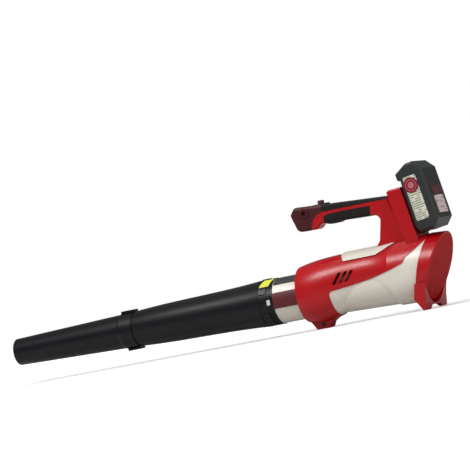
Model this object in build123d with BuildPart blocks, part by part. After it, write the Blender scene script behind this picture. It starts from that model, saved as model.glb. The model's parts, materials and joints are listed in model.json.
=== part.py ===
from build123d import *
import math
import os

os.makedirs("parts", exist_ok=True)

# Handheld cordless leaf blower.  Millimetres, +Z up, +X towards the air inlet at the rear.
# The blower stands level on its front boss and rear feet, whose soles lie at Z = 0.

# ---- stations along X ---------------------------------------------------------------------
FRONT_TUBE_LENGTH = 237.9
REAR_TUBE_LENGTH = 242.0
TUBE_REAR_X = 74.0        # rear rim of the rear tube
TUBE_JOINT_X = TUBE_REAR_X - REAR_TUBE_LENGTH     # shoulder where the two tubes meet
MOUTH_X = TUBE_JOINT_X - FRONT_TUBE_LENGTH        # open end of the front tube
SHELL_FRONT_X = 145.0     # front edge of the red collar
COLLAR_REAR_X = 203.0     # where the full collar ends and the open underside starts
DUCT_REAR_X = 330.0
BELL_X = 346.0
RING_FRONT_X = 360.0
RING_X = 381.0            # centre of the inlet ring's rear face
FOOT_X = 360.0

# ---- air path radii, all built out from the two sleeves that the tubes slide on ------------
TUBE_WALL = 2.0
DUCT_WALL = 2.5
SLIDE_FIT = 0.08          # radial clearance of parts that slide or turn in a bore
GAP = 0.4                 # daylight between pieces of different bodies
JOIN = 0.1                # how far one feature of a moulding bites into the next
MOUTH_R = 23.2
TUBE_JOINT_R = 29.2
SOCKET_R = TUBE_JOINT_R + 2.3     # thickened socket at the rear of the front tube
SOCKET_LENGTH = 24.0
SPIGOT_LENGTH = 28.0      # length of the rear tube's nose inside that socket
LUG_T = 3.5               # T lugs on the socket
LUG_W = 24.0
NECK_SPIGOT_R = 34.5      # part of the duct's neck hidden in the rear tube
NECK_SPIGOT_LENGTH = 42.0
TUBE_REAR_R = NECK_SPIGOT_R + 4.5
TUBE_MID_R = (TUBE_JOINT_R + TUBE_REAR_R) / 2 + 0.2
TUBE_MID_X = -45.0
NECK_R = NECK_SPIGOT_R + 3.0      # pale duct just ahead of the shell
LOCK_RING_L = 25.0        # twist ring between the rear tube and the neck
LOCK_RING_R = NECK_R + 1.1
LOCK_RIBS = 5
DUCT_REAR_R = NECK_R + 5.5
BELL_STEP = 3.5           # how far the bell mouth opens over its first stretch
BELL_R = DUCT_REAR_R + 10.0
AXIS_Z = NECK_R + 20.5    # air duct centre line above the ground

# ---- shell --------------------------------------------------------------------------------
SHELL_WALL = 2.6
COLLAR_R = NECK_R + 8.5
COLLAR_TOP_R = COLLAR_R + 3.0
SHELL_HALF_W = DUCT_REAR_R + 6.0
SHELL_TOP_Z = AXIS_Z + DUCT_REAR_R + 13.0
RING_R = SHELL_HALF_W + 8.5
RING_Z = AXIS_Z + 6.0
RING_TILT = 24.0          # degrees, top of the inlet ring leans rearward
RING_FRONT_TILT = 19.0
RING_WALL = 3.0
FOOT_HALF_SPAN = RING_R - 7.5
FOOT_ARCH_HALF_W = 28.0
BOSS_HALF_W = 11.0
COVER_INSET = 1.2         # how far the pale lower cover lies below the red shell's surface

# ---- handle, its heights measured from the shell's top -------------------------------------
HAND_Z = SHELL_TOP_Z
GRIP_HALF_W = 16.0
GRIP_SKIN = 3.0           # thickness of the soft overmoulding
GRIP_WALL = 2.4
PLATE_TILT = 8.2          # degrees, top of the battery plate leans forward
PLATE_REAR_X = 358.5      # rear face of the plate at PLATE_MID_Z
PLATE_MID_Z = RING_Z + RING_R + 31.0
PLATE_H = 86.0
PLATE_T = 22.0

# ---- battery ------------------------------------------------------------------------------
CELL_R = 9.0
CELL_L = 65.0
CELLS = 5
CELL_PITCH = 2 * CELL_R + 0.6
BAT_WALL = 2.4
CASE_SPLIT = 17.0         # joint between the two case halves, rearward from the plate
BAT_HALF_W = CELL_L / 2 + 4.5
BAT_L = CELLS * CELL_PITCH + 17.5
BAT_N0 = 4.0              # case front, measured rearward from the plate
BAT_N1 = CASE_SPLIT + 2 * CELL_R + 10.0           # case rear
BAT_U0 = -31.75           # lower end of the pack, measured up from the plate's middle
BAT_U1 = BAT_U0 + BAT_L
BAT_MID_U = (BAT_U0 + BAT_U1) / 2
BAT_CHAMFER = 12.0
BROW = 4.5                # how far the pack's head leans forward over the plate
PLATE_HALF_W = BAT_HALF_W - 5.0
RAIL_NECK_HALF_W = 17.0
RAIL_HEAD_HALF_W = RAIL_NECK_HALF_W + 4.0
RAIL_NECK_T = 3.0
RAIL_T = 7.7
RAIL_U0 = -24.0           # lower and upper ends of the rail from the plate's middle
RAIL_U1 = 39.0
RAIL_FIT = 0.3            # daylight between the rail and the pack's channel
LABEL_T = 0.5             # printed films on the pack
FILM = 0.4                # printed films on the neck

# ---- drive --------------------------------------------------------------------------------
MOTOR_R = 17.0
MOTOR_X0 = 226.0
MOTOR_L = 50.0
SHAFT_R = 2.5
BEARING_R = 6.5
BEARING_W = 5.0
FAN_X = 304.0
FAN_L = 20.0
FAN_HUB_R = MOTOR_R + 2.0
FAN_TIP_GAP = 1.0
BLADES = 9
VANES = 7
SCREW_HEAD_R = 3.6
SCREW_HEAD_H = 2.0
SCREW_HEX_R = 1.7
SCREW_HEX_DEPTH = 1.5


def save(piece, name):
    piece.part.label = name
    export_step(piece.part, f"parts/{name}.step")


AXIS = Axis((0, 0, AXIS_Z), (1, 0, 0))


def station(x, z=AXIS_Z, tilt=0.0):
    """Plane across the duct; its local x is world +Y and its local y is up."""
    a = math.radians(tilt)
    return Plane(origin=(x, 0, z), x_dir=(0, 1, 0), z_dir=(math.cos(a), 0, -math.sin(a)))


# ---- front tube: tapered nozzle with a thick socket and two T lugs ------------------------
SOCKET_BORE_R = TUBE_JOINT_R - TUBE_WALL
SOCKET_X0 = TUBE_JOINT_X - SOCKET_LENGTH
with BuildPart() as tube_front:
    with BuildSketch(Plane.XZ):
        with BuildLine():
            Polyline(
                (MOUTH_X, AXIS_Z),
                (MOUTH_X, AXIS_Z + MOUTH_R),
                (SOCKET_X0 - 4, AXIS_Z + TUBE_JOINT_R),
                (SOCKET_X0, AXIS_Z + SOCKET_R),
                (TUBE_JOINT_X - GAP, AXIS_Z + SOCKET_R),
                (TUBE_JOINT_X - GAP, AXIS_Z),
                close=True,
            )
        make_face()
    revolve(axis=AXIS)
    for side in (1, -1):
        with BuildSketch(Plane.XY.offset(AXIS_Z)):
            with Locations((SOCKET_X0 + SOCKET_LENGTH / 2, 0)):
                Rectangle(8, 18)
        extrude(amount=side * (SOCKET_R + JOIN))
        with BuildSketch(Plane.XY.offset(AXIS_Z + side * (SOCKET_R - 1))):
            with Locations((SOCKET_X0 + SOCKET_LENGTH / 2, 0)):
                RectangleRounded(SOCKET_LENGTH - 1, LUG_W, 3)
        extrude(amount=side * LUG_T)
    with BuildSketch(Plane.XZ):
        with BuildLine():
            Polyline(
                (MOUTH_X - 1, AXIS_Z),
                (MOUTH_X - 1, AXIS_Z + MOUTH_R - TUBE_WALL),
                (MOUTH_X, AXIS_Z + MOUTH_R - TUBE_WALL),
                (TUBE_JOINT_X - SPIGOT_LENGTH - 8, AXIS_Z + SOCKET_BORE_R - TUBE_WALL),
                (TUBE_JOINT_X - SPIGOT_LENGTH - 2, AXIS_Z + SOCKET_BORE_R),
                (TUBE_JOINT_X, AXIS_Z + SOCKET_BORE_R),
                (TUBE_JOINT_X, AXIS_Z),
                close=True,
            )
        make_face()
    revolve(axis=AXIS, mode=Mode.SUBTRACT)
save(tube_front, "tube_front")

# ---- rear tube: spigot nose, long taper, dark rim over the duct neck ----------------------
SPIGOT_R = SOCKET_BORE_R - SLIDE_FIT
NECK_BORE_R = NECK_SPIGOT_R + SLIDE_FIT
NECK_SPIGOT_X = TUBE_REAR_X - NECK_SPIGOT_LENGTH
with BuildPart() as tube_rear:
    with BuildSketch(Plane.XZ):
        with BuildLine():
            nose = Polyline(
                (TUBE_JOINT_X - SPIGOT_LENGTH, AXIS_Z + SPIGOT_R - TUBE_WALL),
                (TUBE_JOINT_X - SPIGOT_LENGTH, AXIS_Z + SPIGOT_R),
                (TUBE_JOINT_X, AXIS_Z + SPIGOT_R),
                (TUBE_JOINT_X, AXIS_Z + TUBE_JOINT_R + 0.8),
            )
            back = Spline(
                nose @ 1,
                (TUBE_MID_X, AXIS_Z + TUBE_MID_R),
                (TUBE_REAR_X - 40, AXIS_Z + NECK_SPIGOT_R + TUBE_WALL),
                (TUBE_REAR_X, AXIS_Z + TUBE_REAR_R),
            )
            Polyline(
                back @ 1,
                (TUBE_REAR_X, AXIS_Z + NECK_BORE_R),
                (NECK_SPIGOT_X - 2, AXIS_Z + NECK_BORE_R),
                (NECK_SPIGOT_X - 6, AXIS_Z + NECK_BORE_R - TUBE_WALL),
                (TUBE_MID_X, AXIS_Z + TUBE_MID_R - TUBE_WALL - 0.5),
                (TUBE_JOINT_X + 4, AXIS_Z + TUBE_JOINT_R - 1.5),
                (TUBE_JOINT_X - 2, AXIS_Z + SPIGOT_R - TUBE_WALL),
                nose @ 0,
            )
        make_face()
    revolve(axis=AXIS)
save(tube_rear, "tube_rear")

NECK_X = TUBE_REAR_X + LOCK_RING_L + 2 * GAP


# ---- air duct: neck, flowing tube and slanted bell mouth ----------------------------------
def duct_outline(outset, solid):
    """Half section of the duct, grown by outset; solid closes it on the centre line."""
    front = NECK_SPIGOT_X - outset
    bell = BELL_X + 30
    line = [
        (front, AXIS_Z + NECK_SPIGOT_R + outset),
        (NECK_X - outset, AXIS_Z + NECK_SPIGOT_R + outset),
        (NECK_X - outset, AXIS_Z + NECK_R + outset),
        (SHELL_FRONT_X, AXIS_Z + NECK_R + outset),
        (DUCT_REAR_X, AXIS_Z + DUCT_REAR_R + outset),
        (BELL_X, AXIS_Z + DUCT_REAR_R + BELL_STEP + outset),
        (bell, AXIS_Z + BELL_R + outset),
    ]
    if solid:
        return line + [(bell, AXIS_Z), (front, AXIS_Z)]
    inner_neck = NECK_SPIGOT_R - DUCT_WALL
    return line + [
        (bell, AXIS_Z + BELL_R - DUCT_WALL),
        (BELL_X, AXIS_Z + DUCT_REAR_R + BELL_STEP - DUCT_WALL),
        (DUCT_REAR_X, AXIS_Z + DUCT_REAR_R - DUCT_WALL),
        (SHELL_FRONT_X, AXIS_Z + inner_neck),
        (front, AXIS_Z + inner_neck),
    ]


def duct_bore(x):
    """Inner radius of the duct at station x behind the shell's front edge."""
    t = (x - SHELL_FRONT_X) / (DUCT_REAR_X - SHELL_FRONT_X)
    r0 = NECK_SPIGOT_R - DUCT_WALL
    return r0 + (DUCT_REAR_R - DUCT_WALL - r0) * t


bell_cut = station(RING_FRONT_X + 5, RING_Z, RING_FRONT_TILT + 2)
with BuildPart() as duct:
    with BuildSketch(Plane.XZ):
        with BuildLine():
            Polyline(*duct_outline(0, False), close=True)
        make_face()
    revolve(axis=AXIS)
    split(bisect_by=bell_cut, keep=Keep.BOTTOM)
save(duct, "air_duct")

# ---- inlet ring: slanted hoop behind the shell with two feet ------------------------------
ring_front = station(RING_FRONT_X, RING_Z, RING_FRONT_TILT)
ring_rear = station(RING_X, RING_Z, RING_TILT)
with BuildPart() as ring_outer:
    with BuildSketch(ring_front):
        Circle(RING_R)
    with BuildSketch(ring_rear):
        Circle(RING_R)
    loft()
    fillet(ring_outer.edges().sort_by(Axis.X)[-1:], 2.0)

with BuildPart() as foot_blank:
    with BuildSketch(Plane.XZ):
        with BuildLine():
            FilletPolyline(
                (FOOT_X - 15, 20), (FOOT_X - 3, 0), (FOOT_X + 1.5, 0), (FOOT_X + 4, 20),
                (FOOT_X + 9, AXIS_Z - 14), (FOOT_X - 9, AXIS_Z - 14),
                radius=0.8, close=True,
            )
        make_face()
    extrude(amount=FOOT_HALF_SPAN + 6, both=True)
    with BuildSketch(Plane.YZ.offset(FOOT_X)):
        with BuildLine():
            FilletPolyline(
                (-FOOT_HALF_SPAN - 2, 0), (-FOOT_ARCH_HALF_W, 0), (8 - FOOT_ARCH_HALF_W, 6),
                (FOOT_ARCH_HALF_W - 8, 6), (FOOT_ARCH_HALF_W, 0),
                (FOOT_HALF_SPAN + 2, 0), (FOOT_HALF_SPAN + 5.5, AXIS_Z - 8),
                (-FOOT_HALF_SPAN - 5.5, AXIS_Z - 8),
                radius=1.5, close=True,
            )
        make_face()
    extrude(amount=60, both=True, mode=Mode.INTERSECT)

with BuildPart() as duct_solid:
    with BuildSketch(Plane.XZ):
        with BuildLine():
            Polyline(*duct_outline(0.0, True), close=True)
        make_face()
    revolve(axis=AXIS)

with BuildPart() as ring_cavity:
    with BuildSketch(ring_front.offset(RING_WALL)):
        Circle(RING_R - RING_WALL)
    with BuildSketch(ring_rear.offset(1.0)):
        Circle(RING_R - RING_WALL)
    loft()

with BuildPart() as inlet_ring:
    add(ring_outer.part)
    add(foot_blank.part)
    add(ring_cavity.part, mode=Mode.SUBTRACT)
    add(duct_solid.part, mode=Mode.SUBTRACT)
save(inlet_ring, "inlet_ring")

# ---- inlet guard: slanted disc of rings and spokes ---------------------------------------
GUARD_R = RING_R - RING_WALL
GUARD_T = 2.5
GUARD_RIM = 3.0
GUARD_PITCH = 5.8
GUARD_SLOT = 3.5
GUARD_HUB_R = 11.0
GUARD_SPOKES = 12
with BuildPart() as guard:
    with BuildSketch(ring_rear.offset(-GUARD_T - 0.4)):
        Circle(GUARD_R + 3)
        for k in range(int((GUARD_R - GUARD_RIM - GUARD_HUB_R) / GUARD_PITCH) + 1):
            r = GUARD_R - GUARD_RIM - k * GUARD_PITCH
            Circle(r, mode=Mode.SUBTRACT)
            Circle(r - GUARD_SLOT)
        with PolarLocations(GUARD_R / 2, GUARD_SPOKES):
            Rectangle(GUARD_R - 2, 1.8)
        Circle(GUARD_HUB_R)
    extrude(amount=GUARD_T)
    add(ring_cavity.part, mode=Mode.INTERSECT)
save(guard, "inlet_guard")

# ---- housing: collar, upper shell, boss, post, grip core and battery plate ----------------
SHELL_SECTIONS = (        # x, half width, top z, bottom z, corner radius
    (SHELL_FRONT_X, COLLAR_R, AXIS_Z + 2 + COLLAR_R, AXIS_Z + 2 - COLLAR_R, COLLAR_R - 1),
    (SHELL_FRONT_X + 10, COLLAR_TOP_R - 0.5, AXIS_Z + COLLAR_TOP_R + 1, AXIS_Z + 2 - COLLAR_TOP_R,
     COLLAR_TOP_R - 3),
    (COLLAR_REAR_X, SHELL_HALF_W, SHELL_TOP_Z - 1, AXIS_Z - NECK_R - 4.4, SHELL_HALF_W - 4),
    (SHELL_FRONT_X + 165, SHELL_HALF_W + 2, SHELL_TOP_Z, AXIS_Z - DUCT_REAR_R - 2.7, SHELL_HALF_W - 4),
    (RING_X, RING_R - 1, SHELL_TOP_Z + 4, AXIS_Z - DUCT_REAR_R - 3.7, SHELL_HALF_W + 1),
)


def shell_solid(inset):
    """Loft of the shell's cross sections, each drawn in by inset; the rear flare is straight."""
    with BuildPart() as body:
        for run, straight in ((SHELL_SECTIONS[:-1], False), (SHELL_SECTIONS[-2:], True)):
            for x, half_w, top, low, corner in run:
                with BuildSketch(Plane.YZ.offset(x)):
                    with Locations((0, (top + low) / 2)):
                        RectangleRounded(2 * (half_w - inset), top - low - 2 * inset, corner - inset)
            loft(ruled=straight)
    return body.part


def side_block(points, half_y, radius=0.0):
    """Prism of a side outline, half_y to each side of the centre plane."""
    with BuildPart() as block:
        with BuildSketch(Plane.XZ):
            with BuildLine():
                if radius:
                    FilletPolyline(*points, radius=radius, close=True)
                else:
                    Polyline(*points, close=True)
            make_face()
        extrude(amount=half_y, both=True)
    return block.part


tilt = math.radians(PLATE_TILT)
NORM = Vector(math.cos(tilt), 0, math.sin(tilt))      # rearward, out of the battery plate
UP = Vector(-math.sin(tilt), 0, math.cos(tilt))       # up along the battery plate
PLATE_O = Vector(PLATE_REAR_X, 0, PLATE_MID_Z)


def plate_point(n, u):
    p = PLATE_O + NORM * n + UP * u
    return (p.X, p.Z)


def plate_plane(n=0.0, u=0.0):
    """Plane parallel to the battery plate; local x is world Y, local y is up the plate."""
    return Plane(origin=PLATE_O + NORM * n + UP * u, x_dir=(0, 1, 0), z_dir=NORM)


def plate_box(n0, n1, u0, u1, half_y, y=0.0, corner=0.0):
    """Box in the battery plate's own directions."""
    with BuildPart() as block:
        with BuildSketch(plate_plane(n0)):
            with Locations((y, (u0 + u1) / 2)):
                if corner:
                    RectangleRounded(2 * half_y, u1 - u0, corner)
                else:
                    Rectangle(2 * half_y, u1 - u0)
        extrude(amount=n1 - n0)
    return block.part


GRIP_OUTLINE = (          # side outline of grip and post, nose first, with corner radii
    ((149, HAND_Z + 77), 6), ((158, HAND_Z + 88.5), 8), ((322, HAND_Z + 76.3), 6),
    (plate_point(-PLATE_T + 4, -PLATE_H / 2 + 4), 3), ((345, HAND_Z - 10), 3), ((277, HAND_Z - 10), 3),
    ((293, HAND_Z + 8), 12), ((303, HAND_Z + 49), 9), ((201, HAND_Z + 54), 7), ((192, HAND_Z + 46.5), 7),
    ((158, HAND_Z + 47.5), 10),
)
with BuildSketch(Plane.XZ) as grip_side:
    with BuildLine():
        FilletPolyline(*[p for p, _ in GRIP_OUTLINE], radius=[r for _, r in GRIP_OUTLINE], close=True)
    make_face()


def grip_solid(inset, soften):
    with BuildPart() as g:
        with BuildSketch(Plane.XZ):
            add(grip_side.sketch)
            if inset:
                offset(amount=-inset, kind=Kind.INTERSECTION)
        extrude(amount=GRIP_HALF_W - inset, both=True)
        if soften:
            rims = g.faces().sort_by(Axis.Y)
            fillet(rims[0].edges() + rims[-1].edges(), soften)
    return g.part


grip_outer = grip_solid(0, 6.0)
grip_core = grip_solid(GRIP_SKIN, 3.0)
grip_cavity = grip_solid(GRIP_SKIN + GRIP_WALL, 0)

CAP_REAR_X = 206.0
GRIP_ZONES = {            # side outlines that divide the overmoulding into its three mouldings
    "cap": ((100, HAND_Z + 36), (178, HAND_Z + 36), (181.5, HAND_Z + 46), (188.7, HAND_Z + 62.8),
            (196, HAND_Z + 69), (CAP_REAR_X, HAND_Z + 72.2), (CAP_REAR_X, HAND_Z + 106),
            (100, HAND_Z + 106)),
    "top": ((CAP_REAR_X, HAND_Z + 72.2), (330, HAND_Z + 71.8), (330, HAND_Z + 106),
            (CAP_REAR_X, HAND_Z + 106)),
    "low": ((205, HAND_Z + 36), (207, HAND_Z + 65), (216, HAND_Z + 67.4), (240, HAND_Z + 68),
            (290, HAND_Z + 66.5), (284, HAND_Z + 36)),
}
zones = {name: side_block(points, GRIP_HALF_W + 5) for name, points in GRIP_ZONES.items()}

BEYOND = 90.0             # half width that clears every section of the shell
BOUNDARY = (              # lower edge of the upper shell behind the collar, front to rear
    (COLLAR_REAR_X, -20), (COLLAR_REAR_X, AXIS_Z - 1), (240, AXIS_Z + 2.3), (277, AXIS_Z + 7.3),
    (313, AXIS_Z + 15), (337, AXIS_Z + 22), (342, AXIS_Z + 30.5), (357, AXIS_Z + 39),
    (383, AXIS_Z + 57), (430, AXIS_Z + 57), (430, -20),
)
upper_edge = side_block(BOUNDARY, BEYOND, radius=6)


def plate_solid(inset):
    """The battery plate: a wedge, thicker at its top, with softened edges."""
    outline = [
        plate_point(-PLATE_T + inset, -PLATE_H / 2 + inset),
        plate_point(-PLATE_T - 4 + inset, PLATE_H / 2 + 3 - inset),
        plate_point(-PLATE_T + inset, PLATE_H / 2 + 6 - inset),
        plate_point(-inset, PLATE_H / 2 + 4 - inset),
        plate_point(-inset, -PLATE_H / 2 + inset),
    ]
    with BuildPart() as block:
        add(side_block(outline, PLATE_HALF_W - inset))
        if not inset:
            sides = block.faces().sort_by(Axis.Y)
            fillet(sides[0].edges() + sides[-1].edges(), 3)
    return block.part


VENT_X = 211.0
VENT_Z = AXIS_Z + 9.0
VENT_PITCH = 10.3
VENT_W = 5.5
VENT_H = 18.0
VENT_LEAN = 13.0
VENTS = 3
BOSS = ((147, 16), (157, 0), (179, 0), (184, 9), (197, 16), (197, 24), (147, 24))
with BuildPart() as housing:
    add(shell_solid(0))
    add(side_block(BOSS, BOSS_HALF_W, radius=2))
    add(upper_edge, mode=Mode.SUBTRACT)
    add(ring_outer.part, mode=Mode.SUBTRACT)
    add(shell_solid(SHELL_WALL), mode=Mode.SUBTRACT)
    for k in range(VENTS):
        x = VENT_X + VENT_PITCH * k
        vent = ((x, VENT_Z + k), (x + VENT_LEAN, VENT_Z + VENT_H),
                (x + VENT_LEAN + VENT_W, VENT_Z + VENT_H), (x + VENT_W, VENT_Z + k))
        add(side_block(vent, BEYOND, radius=0.8), mode=Mode.SUBTRACT)
    with BuildSketch(Plane.YZ.offset(SHELL_FRONT_X)):
        with Locations((0, AXIS_Z + 2)):
            Circle(COLLAR_R - 1)
    extrude(amount=SHELL_WALL)
    add(grip_outer)
    for zone in zones.values():
        add(zone, mode=Mode.SUBTRACT)
    add(grip_core)
    add(plate_solid(0))
    add(plate_solid(SHELL_WALL), mode=Mode.SUBTRACT)
    add(grip_cavity, mode=Mode.SUBTRACT)
    add(duct_solid.part, mode=Mode.SUBTRACT)

# ---- soft and dark mouldings on the grip --------------------------------------------------
TRIGGER_X0 = 204.0
TRIGGER_X1 = 238.0
TRIGGER_HALF_W = 8.0
PIVOT_X = 209.0
PIVOT_Z = HAND_Z + 64.5
PIN_R = 1.5
CAP_SCREW = (175.0, HAND_Z + 76)
CAP_BOSS_R = 8.0
slot_x0 = TRIGGER_X0 - 1.0
slot_x1 = TRIGGER_X1 + 1.5
trigger_slot = side_block(
    ((slot_x0, HAND_Z + 36), (slot_x1, HAND_Z + 36), (slot_x1, HAND_Z + 70), (slot_x0, HAND_Z + 70)),
    TRIGGER_HALF_W + GAP,
)

with BuildPart() as grip_cap:
    add(grip_outer)
    add(grip_core, mode=Mode.SUBTRACT)
    add(zones["cap"], mode=Mode.INTERSECT)
    for side in (1, -1):
        with BuildSketch(Plane.XZ.offset(side * (GRIP_HALF_W - JOIN))):
            with Locations(CAP_SCREW):
                Circle(CAP_BOSS_R)
        extrude(amount=side * 1.6)
        with BuildSketch(Plane.XZ.offset(side * (GRIP_HALF_W + 2))):
            with Locations(CAP_SCREW):
                Circle(CAP_BOSS_R / 2)
        extrude(amount=-side * 4, mode=Mode.SUBTRACT)

with BuildPart() as grip_top:
    add(grip_outer)
    add(grip_core, mode=Mode.SUBTRACT)
    add(zones["top"], mode=Mode.INTERSECT)

with BuildPart() as grip_low:
    add(grip_outer)
    add(grip_core, mode=Mode.SUBTRACT)
    add(zones["low"], mode=Mode.INTERSECT)
    add(trigger_slot, mode=Mode.SUBTRACT)
save(grip_low, "grip_lower")

# ---- speed slider on the grip's nose ------------------------------------------------------
SLIDER_X = 202.0
SLIDER_Z = HAND_Z + 83
SLIDER_TRAVEL = 5.0
SLIDER_HALF_L = 4.5
BASE_TOP_Z = SLIDER_Z + 3.5
BASE_L = 27.0
BASE_W = 17.0
KNOB_STEM = 4.0
with BuildPart() as slider_base:
    with BuildSketch(Plane.XY.offset(SLIDER_Z - 3)):
        with Locations((SLIDER_X, 0)):
            RectangleRounded(BASE_L, BASE_W, 5)
    extrude(amount=BASE_TOP_Z - SLIDER_Z + 3)
    with BuildSketch(Plane.XY.offset(BASE_TOP_Z)):
        with Locations((SLIDER_X, 0)):
            RectangleRounded(2 * SLIDER_TRAVEL + KNOB_STEM + 2 * GAP, KNOB_STEM + 2 * GAP, 1)
    extrude(amount=-4, mode=Mode.SUBTRACT)
save(slider_base, "speed_base")

with BuildPart() as slider:
    with BuildSketch(Plane.XY.offset(BASE_TOP_Z + GAP)):
        with Locations((SLIDER_X, 0)):
            RectangleRounded(2 * SLIDER_HALF_L, 11, 2.5)
    extrude(amount=5.4)
    fillet(slider.faces().sort_by(Axis.Z)[-1].edges(), 1.2)
    with BuildSketch(Plane.XY.offset(BASE_TOP_Z - 3)):
        with Locations((SLIDER_X, 0)):
            Rectangle(KNOB_STEM, KNOB_STEM)
    extrude(amount=3.5)
save(slider, "speed_slider")

with BuildPart() as slider_well:
    with BuildSketch(Plane.XY.offset(SLIDER_Z - 3)):
        with Locations((SLIDER_X, 0)):
            RectangleRounded(BASE_L, BASE_W, 5)
    extrude(amount=12)
for piece, name in ((grip_cap, "grip_cap"), (grip_top, "grip_top")):
    with BuildPart() as trimmed:
        add(piece.part)
        add(slider_well.part, mode=Mode.SUBTRACT)
    with BuildPart() as kept:
        add(trimmed.solids().sort_by(SortBy.VOLUME)[-1])
    save(kept, name)

# ---- trigger ------------------------------------------------------------------------------
with BuildPart() as trigger:
    add(side_block(
        ((TRIGGER_X0, HAND_Z + 68), (TRIGGER_X0, HAND_Z + 58), (209, HAND_Z + 52), (216, HAND_Z + 50.5),
         (230, HAND_Z + 50.5), (TRIGGER_X1 - 1, HAND_Z + 53), (TRIGGER_X1, HAND_Z + 60),
         (230, HAND_Z + 66.5), (214, HAND_Z + 68.5)),
        TRIGGER_HALF_W, radius=1.5,
    ))
    with BuildSketch(Plane.XZ):
        with Locations((PIVOT_X, PIVOT_Z)):
            Circle(PIN_R + SLIDE_FIT)
    extrude(amount=20, both=True, mode=Mode.SUBTRACT)
save(trigger, "trigger")

with BuildPart() as trigger_pin:
    with BuildSketch(Plane.XZ):
        with Locations((PIVOT_X, PIVOT_Z)):
            Circle(PIN_R)
    extrude(amount=GRIP_HALF_W - GRIP_SKIN - 0.6, both=True)
save(trigger_pin, "trigger_pin")

SPRING_X = 228.0
SPRING_Z0 = HAND_Z + 67.2
SPRING_Z1 = HAND_Z + 76.4
with BuildPart() as trigger_spring:
    with BuildLine() as coil:
        Helix(pitch=2.2, height=SPRING_Z1 - SPRING_Z0 - 0.8, radius=2.6, center=(SPRING_X, 0, SPRING_Z0 + 0.4))
    with BuildSketch(Plane(origin=coil.line @ 0, z_dir=coil.line % 0)):
        Circle(0.4)
    sweep()
save(trigger_spring, "trigger_spring")

HOLLOW_W = 2 * (GRIP_HALF_W - GRIP_SKIN - GRIP_WALL)      # room inside grip and post
with BuildPart() as switch_box:
    with BuildSketch(Plane.XY.offset(HAND_Z + 61.2)):
        with Locations((253, 0)):
            Rectangle(22, HOLLOW_W)
    extrude(amount=12.8)
save(switch_box, "trigger_switch")

BOARD_X = 312.0
BOARD_T = 1.6
BOARD_Z = HAND_Z + 36
with BuildPart() as control_board:
    with BuildSketch(Plane.YZ.offset(BOARD_X)):
        with Locations((0, BOARD_Z)):
            Rectangle(HOLLOW_W, 44)
    extrude(amount=BOARD_T)
    with BuildSketch(Plane.YZ.offset(BOARD_X + BOARD_T)):
        with Locations((0, BOARD_Z)):
            with GridLocations(8, 12, 2, 3):
                Rectangle(5, 7)
    extrude(amount=4)
save(control_board, "control_board")

# ---- screws -------------------------------------------------------------------------------
HOUSING_SCREWS = (        # x, z, face depth, side (-1 right, +1 left)
    (169, 8, BOSS_HALF_W, -1), (169, 8, BOSS_HALF_W, 1), (298, HAND_Z + 61.5, GRIP_HALF_W, 1),
    (317, HAND_Z + 61.5, GRIP_HALF_W, 1), (303, HAND_Z + 14, GRIP_HALF_W, 1),
    (*CAP_SCREW, GRIP_HALF_W, 1),
)
with BuildPart() as screws:
    for x, z, face, side in HOUSING_SCREWS:
        with BuildSketch(Plane.XZ.offset(-side * (face - SCREW_HEAD_H))):
            with Locations((x, z)):
                Circle(SCREW_HEAD_R)
        extrude(amount=-side * SCREW_HEAD_H)
        with BuildSketch(Plane.XZ.offset(-side * face)):
            with Locations((x, z)):
                RegularPolygon(SCREW_HEX_R, 6)
        extrude(amount=side * SCREW_HEX_DEPTH, mode=Mode.SUBTRACT)
with BuildPart() as screw_wells:
    for x, z, face, side in HOUSING_SCREWS:
        with BuildSketch(Plane.XZ.offset(-side * (face - SCREW_HEAD_H))):
            with Locations((x, z)):
                Circle(SCREW_HEAD_R)
        extrude(amount=-side * 6)
save(screws, "housing_screws")

# ---- housing halves -----------------------------------------------------------------------
with BuildPart() as housing_cut:
    add(housing.part)
    add(trigger_slot, mode=Mode.SUBTRACT)
    add(trigger_pin.part, mode=Mode.SUBTRACT)
    add(slider_well.part, mode=Mode.SUBTRACT)
    add(screw_wells.part, mode=Mode.SUBTRACT)
for side, keep in (("right", Keep.TOP), ("left", Keep.BOTTOM)):
    with BuildPart() as half:
        add(housing_cut.solids().sort_by(SortBy.VOLUME)[-1])
        split(bisect_by=Plane.XZ, keep=keep)
    with BuildPart() as main_half:
        add(half.solids().sort_by(SortBy.VOLUME)[-1])
    save(main_half, f"housing_{side}")

# ---- pale saddle panel over the shell's top ----------------------------------------------
PANEL_T = 2.0
with BuildPart() as top_panel:
    add(shell_solid(-PANEL_T))
    add(side_block(((233, HAND_Z - 12.5), (289, HAND_Z - 12.5), (319, HAND_Z + 0.4), (319, HAND_Z + 16),
                    (227, HAND_Z + 16), (227, HAND_Z - 2)), BEYOND), mode=Mode.INTERSECT)
    add(shell_solid(0), mode=Mode.SUBTRACT)
    add(grip_outer, mode=Mode.SUBTRACT)
save(top_panel, "top_panel")

# ---- twist ring, label and bands on the neck ----------------------------------------------
def neck_wrap(x0, x1, r0, r1):
    """Sleeve about the duct axis from x0 to x1 between radii r0 and r1."""
    with BuildPart() as sleeve:
        with BuildSketch(Plane.YZ.offset(x0)):
            with Locations((0, AXIS_Z)):
                Circle(r1)
                Circle(r0, mode=Mode.SUBTRACT)
        extrude(amount=x1 - x0)
    return sleeve.part


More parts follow.
